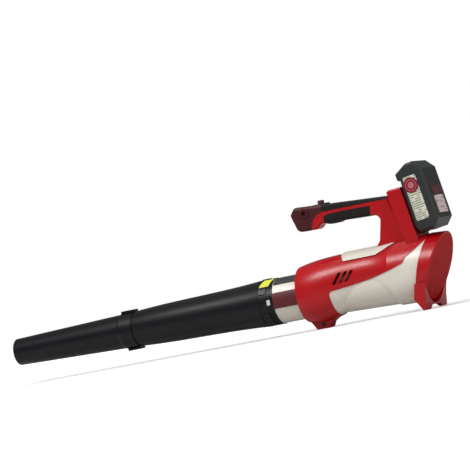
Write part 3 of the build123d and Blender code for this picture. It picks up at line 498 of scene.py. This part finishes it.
def add_object(name: str, data: bpy.types.ID) -> bpy.types.Object:
    """Put a new object in the scene.

    Args:
        name: The object's name.
        data: Its mesh, camera or light.

    Returns:
        The object.
    """
    obj = bpy.data.objects.new(name, data)
    bpy.context.scene.collection.objects.link(obj)
    return obj


# ---- stand --------------------------------------------------------------------------------
@dataclass
class Studio:
    """Floor, lights and the camera."""

    azimuth: float = 24.0
    elevation: float = -1.5
    roll: float = 11.33
    target: Vector = field(default_factory=lambda: Vector((40.36, 0, 179.75)) * MM)
    distance: float = 3.5
    lens: float = 161.5
    floor_half: float = 9.0
    glow_near: float = 0.42     # how far the floor brightens of itself, beside the blower
    glow_from: float = 0.4      # distances over which that grows to full
    glow_to: float = 2.0
    surround: float = 0.2       # light that the surround gives
    aim: Vector = field(default_factory=lambda: Vector((0.05, 0, 0.1)))
    lamps: tuple[tuple[str, tuple[float, float, float], float, float], ...] = (
        ("key", (-0.6, -1.5, 2.1), 50.0, 0.9),      # name, place, watts, size
        ("fill", (2.2, -1.2, 1.0), 12.0, 1.2),
        ("top", (0.2, 0.5, 2.2), 24.0, 1.2),
    )

    def make_camera(self) -> None:
        """Place the camera at its viewing angle."""
        a, e, r = (math.radians(v) for v in (self.azimuth, self.elevation, self.roll))
        back = Vector((math.sin(a) * math.cos(e), -math.cos(a) * math.cos(e), math.sin(e)))
        right0 = Vector((math.cos(a), math.sin(a), 0))
        up0 = back.cross(right0)
        right = math.cos(r) * right0 - math.sin(r) * up0
        up = math.sin(r) * right0 + math.cos(r) * up0
        data = bpy.data.cameras.new("camera")
        data.lens = self.lens
        data.sensor_width = 36.0
        data.clip_end = 50.0
        cam = add_object("camera", data)
        rot = Matrix((right, up, back)).transposed().to_4x4()
        cam.matrix_world = Matrix.Translation(self.target + back * self.distance) @ rot
        bpy.context.scene.camera = cam

    def make_floor(self) -> None:
        """Lay a plain pale floor under the soles."""
        mesh = bpy.data.meshes.new("floor")
        s = self.floor_half
        mesh.from_pydata([(-s, -s, 0), (s, -s, 0), (s, s, 0), (-s, s, 0)], [], [(0, 1, 2, 3)])
        mat, tree, shader, place = new_material("Pale_floor")
        shader.inputs["Base Color"].default_value = linear("c8c8c8")
        shader.inputs["Roughness"].default_value = 0.8
        # the floor brightens away from the blower, so that it meets the surround with no edge
        away = add_node(tree, "ShaderNodeVectorMath", {"operation": "LENGTH"}, {0: place})
        glow = ramp(tree, away.outputs["Value"], self.glow_near, 1.0, self.glow_from, self.glow_to)
        seen = add_node(tree, "ShaderNodeLightPath").outputs["Is Camera Ray"]
        shader.inputs["Emission Color"].default_value = (1.0, 1.0, 1.0, 1.0)
        feed(tree, shader.inputs["Emission Strength"], maths(tree, "MULTIPLY", glow, seen))
        mesh.materials.append(mat)
        floor = add_object("floor", mesh)

    def make_lights(self) -> None:
        """Light with a bright surround, a big key from the upper left and a soft fill."""
        world = bpy.data.worlds.new("studio")
        world.use_nodes = True
        tree = world.node_tree
        sky = tree.nodes["Background"]
        sky.inputs["Color"].default_value = (1.0, 1.0, 1.0, 1.0)
        seen = add_node(tree, "ShaderNodeLightPath").outputs["Is Camera Ray"]
        feed(tree, sky.inputs["Strength"], ramp(tree, seen, self.surround, 1.0))
        bpy.context.scene.world = world
        for name, place, power, size in self.lamps:
            data = bpy.data.lights.new(name, "AREA")
            data.energy = power
            data.size = size
            spot = Vector(place)
            turn = (self.aim - spot).to_track_quat("-Z", "Y").to_matrix().to_4x4()
            add_object(name, data).matrix_world = Matrix.Translation(spot) @ turn


# ---- making pieces -------------------------------------------------------------------------
BUILT: dict[str, bpy.types.Material] = {}


def finish_of(slot: str) -> bpy.types.Material:
    """Give the material of a record slot, built once.

    Args:
        slot: A material slot of the record.

    Returns:
        The material.
    """
    if slot not in BUILT:
        BUILT[slot] = FINISHES[slot].build()
    return BUILT[slot]


def settle(obj: bpy.types.Object, body: str, slot: str, *instead_of: str,
           sharp: float = 35.0) -> None:
    """Put a finished piece in the frame: smooth it, let it ride, and hide what it replaces.

    Args:
        obj: The piece, at the origin.
        body: The CAD body it rides on.
        slot: The record slot it belongs to; not used.
        instead_of: CAD nodes that it stands for.
        sharp: Angle in degrees above which an edge stays sharp.
    """
    obj.data.shade_smooth()
    obj.data.set_sharp_from_angle(angle=math.radians(sharp))
    if instead_of:
        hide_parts(*instead_of)
    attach(obj, body)
    LOG.info("%s: %d faces on %s", obj.name, len(obj.data.polygons), body)


def grow(name: str, tree: bpy.types.NodeTree, sizes: dict[str, object],
         base: bpy.types.Mesh | None = None) -> bpy.types.Object:
    """Run a geometry tree once and keep its result as a plain mesh.

    Args:
        name: The piece's name.
        tree: The geometry tree.
        sizes: Named inputs of the tree to values.
        base: The mesh that the tree starts from, if it needs one.

    Returns:
        A new object with the finished mesh.
    """
    seed = add_object(name + "_seed", base or bpy.data.meshes.new(name + "_seed"))
    mod = seed.modifiers.new("grow", "NODES")
    mod.node_group = tree
    for item in tree.interface.items_tree:
        if item.item_type == "SOCKET" and item.in_out == "INPUT" and item.name in sizes:
            mod[item.identifier] = sizes[item.name]
    bpy.context.view_layer.update()
    graph = bpy.context.evaluated_depsgraph_get()
    mesh = bpy.data.meshes.new_from_object(seed.evaluated_get(graph), depsgraph=graph,
                                           preserve_all_data_layers=True)
    seed.modifiers.remove(mod)
    bpy.data.objects.remove(seed)
    mesh.name = name
    return add_object(name, mesh)


def new_tree(name: str, inputs: Sequence[tuple[str, str]]) -> tuple[bpy.types.NodeTree,
                                                                    bpy.types.Node]:
    """Start a geometry tree with named inputs.

    Args:
        name: The tree's name.
        inputs: Pairs of input name and socket type.

    Returns:
        The tree and its input node.
    """
    tree = bpy.data.node_groups.new(name, "GeometryNodeTree")
    tree.interface.new_socket("Geometry", in_out="INPUT", socket_type="NodeSocketGeometry")
    for label, kind in inputs:
        tree.interface.new_socket(label, in_out="INPUT", socket_type=kind)
    tree.interface.new_socket("Geometry", in_out="OUTPUT", socket_type="NodeSocketGeometry")
    return tree, add_node(tree, "NodeGroupInput")


def close_tree(tree: bpy.types.NodeTree, shape: bpy.types.NodeSocket,
               finish: bpy.types.NodeSocket) -> None:
    """End a tree in Realize Instances and Set Material.

    Args:
        tree: The geometry tree.
        shape: The geometry so far.
        finish: The material input.
    """
    real = add_node(tree, "GeometryNodeRealizeInstances", {}, {"Geometry": shape})
    dressed = add_node(tree, "GeometryNodeSetMaterial", {},
                       {"Geometry": real.outputs[0], "Material": finish})
    add_node(tree, "NodeGroupOutput", {}, {"Geometry": dressed.outputs[0]})


def point_mesh(name: str, points: Sequence[Sequence[float]]) -> bpy.types.Mesh:
    """Make a mesh of loose points, for a tree to work on.

    Args:
        name: The mesh's name.
        points: Positions in metres.

    Returns:
        The mesh.
    """
    mesh = bpy.data.meshes.new(name)
    mesh.from_pydata([tuple(p) for p in points], [], [])
    mesh.update()
    return mesh


def finished_mesh(name: str, work: bmesh.types.BMesh, *slots: str) -> bpy.types.Mesh:
    """Close a working mesh and give it its finishes.

    Args:
        name: The mesh's name.
        work: The working mesh, which is freed.
        slots: The finishes, in the order of the faces' indices.

    Returns:
        The mesh.
    """
    mesh = bpy.data.meshes.new(name)
    work.to_mesh(mesh)
    work.free()
    for slot in slots:
        mesh.materials.append(finish_of(slot))
    return mesh


# ---- sub-assemblies ------------------------------------------------------------------------
@dataclass
class InletScreen:
    """Fine woven screen in the slanted inlet, flush with its guard."""

    pitch: float = 2.2 * MM
    wire: float = 1.2 * MM
    thickness: float = 0.2 * MM
    radius: float = 53.0 * MM
    centre: Vector = field(default_factory=lambda: Vector((381.0, 0, 64.0)) * MM)
    tilt: float = 24.0
    sink: float = 0.1 * MM
    shortest_squared: float = 1e-6

    def make_tree(self) -> bpy.types.NodeTree:
        """Build the tree: parallel bars cut to a disc, laid two ways.

        Returns:
            The geometry tree.
        """
        tree, given = new_tree("screen", (("Pitch", "NodeSocketFloat"), ("Wire", "NodeSocketFloat"),
                                          ("Radius", "NodeSocketFloat"),
                                          ("Finish", "NodeSocketMaterial")))
        pitch, radius = given.outputs["Pitch"], given.outputs["Radius"]
        rows = maths(tree, "MULTIPLY", maths(tree, "DIVIDE", radius, pitch), 2.0)
        row = add_node(tree, "GeometryNodeMeshLine", {"mode": "OFFSET"},
                       {"Count": rows, "Offset": vector_of(tree, Y=pitch),
                        "Start Location": vector_of(tree, Y=maths(tree, "MULTIPLY", radius, -1.0))})
        size = vector_of(tree, X=1.0, Y=given.outputs["Wire"], Z=self.thickness)
        bar = add_node(tree, "GeometryNodeMeshCube", {}, {"Size": size})
        place = add_node(tree, "GeometryNodeInputPosition")
        y = add_node(tree, "ShaderNodeSeparateXYZ", {}, {0: place.outputs[0]}).outputs["Y"]
        left = maths(tree, "SUBTRACT", maths(tree, "MULTIPLY", radius, radius),
                     maths(tree, "MULTIPLY", y, y))
        root = maths(tree, "SQRT", maths(tree, "MAXIMUM", left, self.shortest_squared))
        scale = vector_of(tree, X=maths(tree, "MULTIPLY", root, 2.0), Y=1.0, Z=1.0)
        bars = add_node(tree, "GeometryNodeInstanceOnPoints", {},
                        {"Points": row.outputs[0], "Instance": bar.outputs[0], "Scale": scale})
        turned = add_node(tree, "GeometryNodeTransform",
                          {"Rotation": (0, 0, math.pi / 2), "Translation": (0, 0, -self.thickness)},
                          {"Geometry": bars.outputs[0]})
        both = tree.nodes.new("GeometryNodeJoinGeometry")
        tree.links.new(bars.outputs[0], both.inputs[0])
        tree.links.new(turned.outputs[0], both.inputs[0])
        close_tree(tree, both.outputs[0], given.outputs["Finish"])
        return tree

    def build(self) -> None:
        """Grow the screen and lay it in the inlet's slanted plane."""
        obj = grow("inlet_screen", self.make_tree(),
                   {"Pitch": self.pitch, "Wire": self.wire, "Radius": self.radius,
                    "Finish": finish_of("mesh_red")})
        a = math.radians(self.tilt)
        out = Vector((math.cos(a), 0, -math.sin(a)))
        up = Vector((math.sin(a), 0, math.cos(a)))
        rot = Matrix((Vector((0, 1, 0)), up, out)).transposed().to_4x4()
        obj.data.transform(Matrix.Translation(self.centre - out * self.sink) @ rot)
        settle(obj, "body", "abs_red_dark")


@dataclass(frozen=True)
class Spot:
    """Box of one loose solid inside a node."""

    low: Vector
    high: Vector

    @property
    def middle(self) -> Vector:
        """Middle of the box."""
        return (self.low + self.high) / 2


def solids_in(node: str) -> list[Spot]:
    """Find the separate solids of a node.

    Args:
        node: A CAD node.

    Returns:
        The box of each solid, in order of place.
    """
    work = bmesh.new()
    work.from_mesh(frame["nodes"][node].data)
    bmesh.ops.remove_doubles(work, verts=work.verts, dist=0.01 * MM)
    left = set(work.verts)
    spots = []
    while left:
        group, edge = set(), {left.pop()}
        while edge:
            group |= edge
            edge = {e.other_vert(v) for v in edge for e in v.link_edges} & left
            left -= edge
        spots.append(Spot(Vector([min(v.co[k] for v in group) for k in range(3)]),
                          Vector([max(v.co[k] for v in group) for k in range(3)])))
    work.free()
    return sorted(spots, key=lambda spot: tuple(spot.middle))


@dataclass
class Screws:
    """Hex-socket screws of the housing, one head instanced at every screw."""

    node: str = "housing_screws"
    socket: float = 0.5
    socket_depth: float = 0.75
    sides: int = 32
    crown: float = 0.88         # share of the head's radius that its flat top has
    twist: float = 0.3          # how much further each screw is turned, in radians

    def make_tree(self) -> bpy.types.NodeTree:
        """Build the tree: a domed head with a hex socket on every point.

        Returns:
            The geometry tree.
        """
        tree, given = new_tree("screws", (("Radius", "NodeSocketFloat"),
                                          ("Height", "NodeSocketFloat"),
                                          ("Finish", "NodeSocketMaterial")))
        radius, height = given.outputs["Radius"], given.outputs["Height"]
        rim = add_node(tree, "GeometryNodeMeshCone", {"Vertices": self.sides, "Side Segments": 1},
                       {"Radius Bottom": radius, "Depth": height,
                        "Radius Top": maths(tree, "MULTIPLY", radius, self.crown)})
        bore = maths(tree, "MULTIPLY", radius, self.socket)
        hexagon = add_node(tree, "GeometryNodeMeshCylinder", {"Vertices": 6},
                           {"Radius": bore, "Depth": height})
        up = vector_of(tree, Z=maths(tree, "MULTIPLY", height, 1 - self.socket_depth + 0.5))
        raised = add_node(tree, "GeometryNodeTransform", {},
                          {"Geometry": hexagon.outputs["Mesh"], "Translation": up})
        down = vector_of(tree, Z=maths(tree, "MULTIPLY", height, -0.5))
        seated = add_node(tree, "GeometryNodeTransform", {},
                          {"Geometry": rim.outputs["Mesh"], "Translation": down})
        head = add_node(tree, "GeometryNodeMeshBoolean", {"operation": "DIFFERENCE"},
                        {0: seated.outputs[0], 1: raised.outputs[0]})
        turn = add_node(tree, "GeometryNodeInputNamedAttribute", {"data_type": "FLOAT_VECTOR"})
        turn.inputs["Name"].default_value = "turn"
        heads = add_node(tree, "GeometryNodeInstanceOnPoints", {},
                         {"Points": given.outputs["Geometry"], "Instance": head.outputs[0],
                          "Rotation": turn.outputs[0]})
        close_tree(tree, heads.outputs[0], given.outputs["Finish"])
        return tree

    def build(self) -> None:
        """Grow a head at every screw and let them stand for the plain ones."""
        spots = solids_in(self.node)
        seeds = point_mesh("screw_seeds", [s.middle for s in spots])
        turn = seeds.attributes.new("turn", "FLOAT_VECTOR", "POINT")
        for k, spot in enumerate(spots):
            turn.data[k].vector = (math.copysign(math.pi / 2, -spot.middle.y), self.twist * k, 0)
        size = spots[0].high - spots[0].low
        obj = grow("screw_heads", self.make_tree(), {"Radius": size.x / 2, "Height": size.y,
                                                     "Finish": finish_of("steel_black")}, seeds)
        settle(obj, "body", "steel_black", self.node)


@dataclass(frozen=True)
class PressedSpring:
    """A coil spring under a pressed joint, shown as a fixed copy of its CAD node."""

    node: str
    joint: str
    body: str
    towards: tuple[float, float, float]
    travel: float

    def build(self) -> None:
        """Copy the spring's mesh and put it on its body in place of the CAD node."""
        mesh = frame["nodes"][self.node].data.copy()
        coil = add_object(self.node + "_coil", mesh)
        settle(coil, self.body, "steel", self.node)
        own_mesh(coil)


SPRINGS = (
    PressedSpring("trigger_spring", "trigger_pull", "body", (0.0, 0.0, 1.0), 3.4 * MM),
    PressedSpring("battery_latch_spring", "latch_press", "battery", PACK_OUT, 3.05 * MM),
)


@dataclass(frozen=True)
class Profile:
    """Closed half section of a turned piece: (x, radius) points in metres."""

    points: tuple[tuple[float, float], ...]

    def mesh(self, name: str) -> bpy.types.Mesh:
        """Give the section as loose points for the lathe.

        Args:
            name: The mesh's name.

        Returns:
            A mesh of points, the radius along Z.
        """
        return point_mesh(name, [(x, 0.0, r) for x, r in self.points])


class Side(Enum):
    """Which wall of a hollow piece a probe looks for."""

    OUTER = 1
    INNER = -1


PROBE_ANGLE = 0.7           # direction of a probe about the axis, in radians
PROBE_REACH = 0.2           # how far out an outer probe starts
WELD = 0.002 * MM


def probe_radius(node: str, x: float, side: Side) -> float:
    """Measure a turned node's radius about the duct axis.

    Args:
        node: A CAD node.
        x: Station in metres.
        side: The outer wall, seen from outside, or the inner wall, seen from the axis.

    Returns:
        The radius in metres, or zero where the probe meets nothing.
    """
    out = Vector((0, math.cos(PROBE_ANGLE), math.sin(PROBE_ANGLE)))
    axis = Vector((x, 0, AXIS_Z))
    if side is Side.OUTER:
        start, way = axis + out * PROBE_REACH, -out
    else:
        start, way = axis, out
    hit, spot, _, _ = frame["nodes"][node].ray_cast(start, way)
    return (spot - axis).length if hit else 0.0


def lathe_tree() -> bpy.types.NodeTree:
    """Build the tree that turns a closed half section round the duct axis.

    Returns:
        The geometry tree.
    """
    tree, given = new_tree("lathe", (("Points", "NodeSocketInt"), ("Segments", "NodeSocketInt"),
                                     ("Axis Height", "NodeSocketFloat"),
                                     ("Finish", "NodeSocketMaterial")))
    count, turns = given.outputs["Points"], given.outputs["Segments"]
    grid = add_node(tree, "GeometryNodeMeshGrid", {"Size X": 1.0, "Size Y": 1.0},
                    {"Vertices X": maths(tree, "ADD", count, 1.0),
                     "Vertices Y": maths(tree, "ADD", turns, 1.0)})
    place = add_node(tree, "GeometryNodeInputPosition").outputs[0]
    here = add_node(tree, "ShaderNodeSeparateXYZ", {}, {0: place})
    step = maths(tree, "MULTIPLY", maths(tree, "ADD", here.outputs["X"], 0.5), count)
    point = add_node(tree, "GeometryNodeSampleIndex", {"data_type": "FLOAT_VECTOR"})
    for name, source in (("Geometry", given.outputs["Geometry"]), ("Value", place),
                         ("Index", maths(tree, "MODULO", maths(tree, "ROUND", step), count))):
        tree.links.new(source, point.inputs[name])
    section = add_node(tree, "ShaderNodeSeparateXYZ", {}, {0: point.outputs[0]})
    angle = maths(tree, "MULTIPLY", maths(tree, "ADD", here.outputs["Y"], 0.5), 2 * math.pi)
    across, high = (maths(tree, "MULTIPLY", maths(tree, wave, angle), section.outputs["Z"])
                    for wave in ("COSINE", "SINE"))
    spot = vector_of(tree, X=section.outputs["X"], Y=across,
                     Z=maths(tree, "ADD", high, given.outputs["Axis Height"]))
    turned = add_node(tree, "GeometryNodeSetPosition", {},
                      {"Geometry": grid.outputs["Mesh"], "Position": spot})
    closed = add_node(tree, "GeometryNodeMergeByDistance", {"Distance": WELD},
                      {"Geometry": turned.outputs[0]})
    close_tree(tree, closed.outputs[0], given.outputs["Finish"])
    return tree


def face_outward(mesh: bpy.types.Mesh) -> None:
    """Turn a closed mesh's faces outward.

    Args:
        mesh: The mesh.
    """
    work = bmesh.new()
    work.from_mesh(mesh)
    bmesh.ops.recalc_face_normals(work, faces=work.faces)
    work.to_mesh(mesh)
    work.free()


@dataclass
class TurnedTube:
    """A moulded tube turned from its measured section."""

    node: str
    body: str
    slot: str = "pp_tube"
    step: float = 6.0 * MM
    segments: int = 96
    lip: float = 0.5 * MM       # points nearer than this to an end are left out
    fine: float = 0.5 * MM      # spacing of the probes that look for steps in the wall
    steepest: float = 0.12      # change of slope that counts as a step
    inset: float = 0.02 * MM    # how far inside its ends the tube is measured

    def section(self) -> Profile:
        """Measure the CAD tube's walls along its length.

        Returns:
            The closed half section.
        """
        low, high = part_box(self.node)
        cuts = max(2, round((high[0] - low[0]) / self.step))
        stations = [low[0] + (high[0] - low[0]) * k / cuts for k in range(cuts + 1)]
        stations[0] += self.inset
        stations[-1] -= self.inset
        walls: dict[Side, list[tuple[float, float]]] = {side: [] for side in Side}
        for side in Side:
            for x in sorted(set(stations + self.corners(side))):
                r = probe_radius(self.node, x, side)
                if r > 0:
                    walls[side].append((x, r))
        outer, inner = (self.thinned(walls[side]) for side in (Side.OUTER, Side.INNER))
        return Profile(tuple(outer + inner[::-1]))

    def corners(self, side: Side) -> list[float]:
        """Find the stations where the wall steps, so that both sides of each step are kept.

        Args:
            side: The wall.

        Returns:
            Stations just before and just after each step.
        """
        low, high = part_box(self.node)
        count = int((high[0] - low[0]) / self.fine)
        marks, last, slope = [], None, None
        for k in range(1, count):
            x = low[0] + k * self.fine
            r = probe_radius(self.node, x, side)
            if last is not None:
                now = (r - last) / self.fine
                if slope is not None and abs(now - slope) > self.steepest:
                    marks += [x - self.fine, x]
                slope = now
            last = r
        return marks

    def thinned(self, wall: list[tuple[float, float]]) -> list[tuple[float, float]]:
        """Leave out the points that crowd the two ends of a wall.

        Args:
            wall: (x, radius) points from front to rear.

        Returns:
            The end points and those clear of them.
        """
        first, last = wall[0][0] + self.lip, wall[-1][0] - self.lip
        return [wall[0]] + [(x, r) for x, r in wall[1:-1] if first < x < last] + [wall[-1]]

    def build(self) -> None:
        """Turn the section and let it stand for the CAD tube."""
        section = self.section()
        obj = grow(self.node + "_turned", lathe_tree(),
                   {"Points": len(section.points), "Segments": self.segments, "Axis Height": AXIS_Z,
                    "Finish": finish_of(self.slot)}, section.mesh(self.node + "_section"))
        face_outward(obj.data)
        settle(obj, self.body, self.slot, self.node, sharp=30.0)


def slab(name: str, middle_at: Vector, size: Vector, bevel: float, slot: str) -> bpy.types.Mesh:
    """Make a softened block.

    Args:
        name: The mesh's name.
        middle_at: Its middle in metres.
        size: Its edge lengths in metres.
        bevel: Edge rounding in metres.
        slot: The finish.

    Returns:
        The mesh.
    """
    work = bmesh.new()
    bmesh.ops.create_cube(work, size=1.0)
    bmesh.ops.scale(work, vec=size, verts=work.verts)
    bmesh.ops.translate(work, vec=middle_at, verts=work.verts)
    bmesh.ops.bevel(work, geom=list(work.edges), offset=bevel, segments=3, profile=0.5,
                    affect="EDGES")
    return finished_mesh(name, work, slot)


@dataclass
class VentShadeSheets:
    """Dark curved sheets between the duct and the shell: painted shade, so that the slanted vents
    look dark inside.
    """

    front: float = 203.0 * MM
    rear: float = 255.0 * MM
    radius: float = 42.2 * MM
    wall: float = 0.8 * MM
    low: float = 9.0
    high: float = 55.0
    steps: int = 24

    def build(self) -> None:
        """Build the two arcs as one piece on the body."""
        work = bmesh.new()
        inner = self.radius - self.wall
        section = ((self.front, self.radius), (self.rear, self.radius),
                   (self.rear, inner), (self.front, inner))
        for side in (-1, 1):
            rows = []
            for k in range(self.steps + 1):
                a = math.radians(self.low + (self.high - self.low) * k / self.steps)
                rows.append([work.verts.new((x, side * r * math.cos(a), AXIS_Z + r * math.sin(a)))
                             for x, r in section])
            for a, b in zip(rows, rows[1:]):
                for k in range(4):
                    work.faces.new((a[k], a[(k + 1) % 4], b[(k + 1) % 4], b[k]))
            work.faces.new(rows[0])
            work.faces.new(rows[-1])
        bmesh.ops.recalc_face_normals(work, faces=work.faces)
        # the black of these sheets is painted shade inside the vents
        mesh = finished_mesh("vent_shade_sheets", work, "pa_fan")
        settle(add_object("vent_shade_sheets", mesh), "body", "pa_fan")


@dataclass
class RingMarks:
    """Pale pointer pads moulded on the twist ring's near side and its opposite."""

    x: float = 92.0 * MM
    radius: float = 38.6 * MM
    size: Vector = field(default_factory=lambda: Vector((6.0, 0.9, 9.0)) * MM)
    above: float = 1.0 * MM     # height of a pad's middle over the duct axis
    edge: float = 0.3 * MM

    def build(self) -> None:
        """Build the two pads as one piece on the ring."""
        work = bmesh.new()
        for side in (-1, 1):
            spot = Vector((self.x, side * self.radius, AXIS_Z + self.above))
            pad = slab("pad", spot, self.size, self.edge, "label_white_plain")
            work.from_mesh(pad)
            bpy.data.meshes.remove(pad)
        mesh = finished_mesh("ring_marks", work, "label_white_plain")
        settle(add_object("ring_marks", mesh), "twist_ring", "label_white")


@dataclass
class Emblems:
    """Round generic badge on each flank of the pack: a maroon disc with a pale ring and centre."""

    radius: float = 12.5 * MM
    proud: float = 0.35 * MM
    above: float = 21.0 * MM
    behind: float = -1.0 * MM
    sides: int = 48
    STEPS = ((1.0, 0.0, 0), (1.0, 0.7, 0), (0.96, 1.0, 0), (0.74, 1.0, 0), (0.66, 1.0, 1),
             (0.42, 1.0, 0), (0.36, 1.0, 1), (0.0, 1.0, 1))   # radius, height, finish outside it

    def build(self) -> None:
        """Build both badges as one piece on the battery."""
        work = bmesh.new()
        out, up = Vector(PACK_OUT), Vector(PACK_UP)
        for side, node in ((-1, "battery_label_right"), (1, "battery_label_left")):
            low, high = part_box(node)
            centre = middle(node) + up * self.above + out * self.behind
            centre.y = low[1] if side < 0 else high[1]
            last = None
            for share, height, tone in self.STEPS:
                level = centre + Vector((0, side * self.proud * height, 0))
                if share == 0.0:
                    hub = work.verts.new(level)
                    for k in range(self.sides):
                        face = work.faces.new((last[k], last[(k + 1) % self.sides], hub))
                        face.material_index = tone
                    continue
                ring = [work.verts.new(level + (out * math.cos(a) + up * math.sin(a))
                                       * self.radius * share)
                        for a in (2 * math.pi * k / self.sides for k in range(self.sides))]
                if last is None:
                    work.faces.new(ring)
                else:
                    for k in range(self.sides):
                        j = (k + 1) % self.sides
                        work.faces.new((last[k], last[j], ring[j], ring[k])).material_index = tone
                last = ring
        bmesh.ops.recalc_face_normals(work, faces=work.faces)
        mesh = finished_mesh("pack_emblems", work, "badge_maroon", "label_pink_plain")
        settle(add_object("pack_emblems", mesh), "battery", "abs_red_dark")


def dress_nodes() -> None:
    """Give every CAD node the finish of its material slot."""
    slots = {s["node"]: s["material_slot"] for s in frame["record"]["subparts"]}
    for node, obj in frame["nodes"].items():
        obj.data.materials.clear()
        slot = NODE_FINISH.get(node, slots[node])
        obj.data.materials.append(finish_of(slot))
        LOG.info("dressed %s with %s", node, slot)


def main() -> None:
    """Build the whole visual model over the frame."""
    logging.basicConfig(level=logging.INFO, format="%(name)s: %(message)s")
    studio = Studio()
    studio.make_camera()
    studio.make_floor()
    studio.make_lights()
    bpy.context.scene.view_settings.view_transform = "Standard"
    dress_nodes()
    InletScreen().build()
    Screws().build()
    for spring in SPRINGS:
        spring.build()
    TurnedTube("tube_rear", "tube").build()
    Emblems().build()
    VentShadeSheets().build()
    RingMarks().build()


if __name__ == "__main__":
    main()
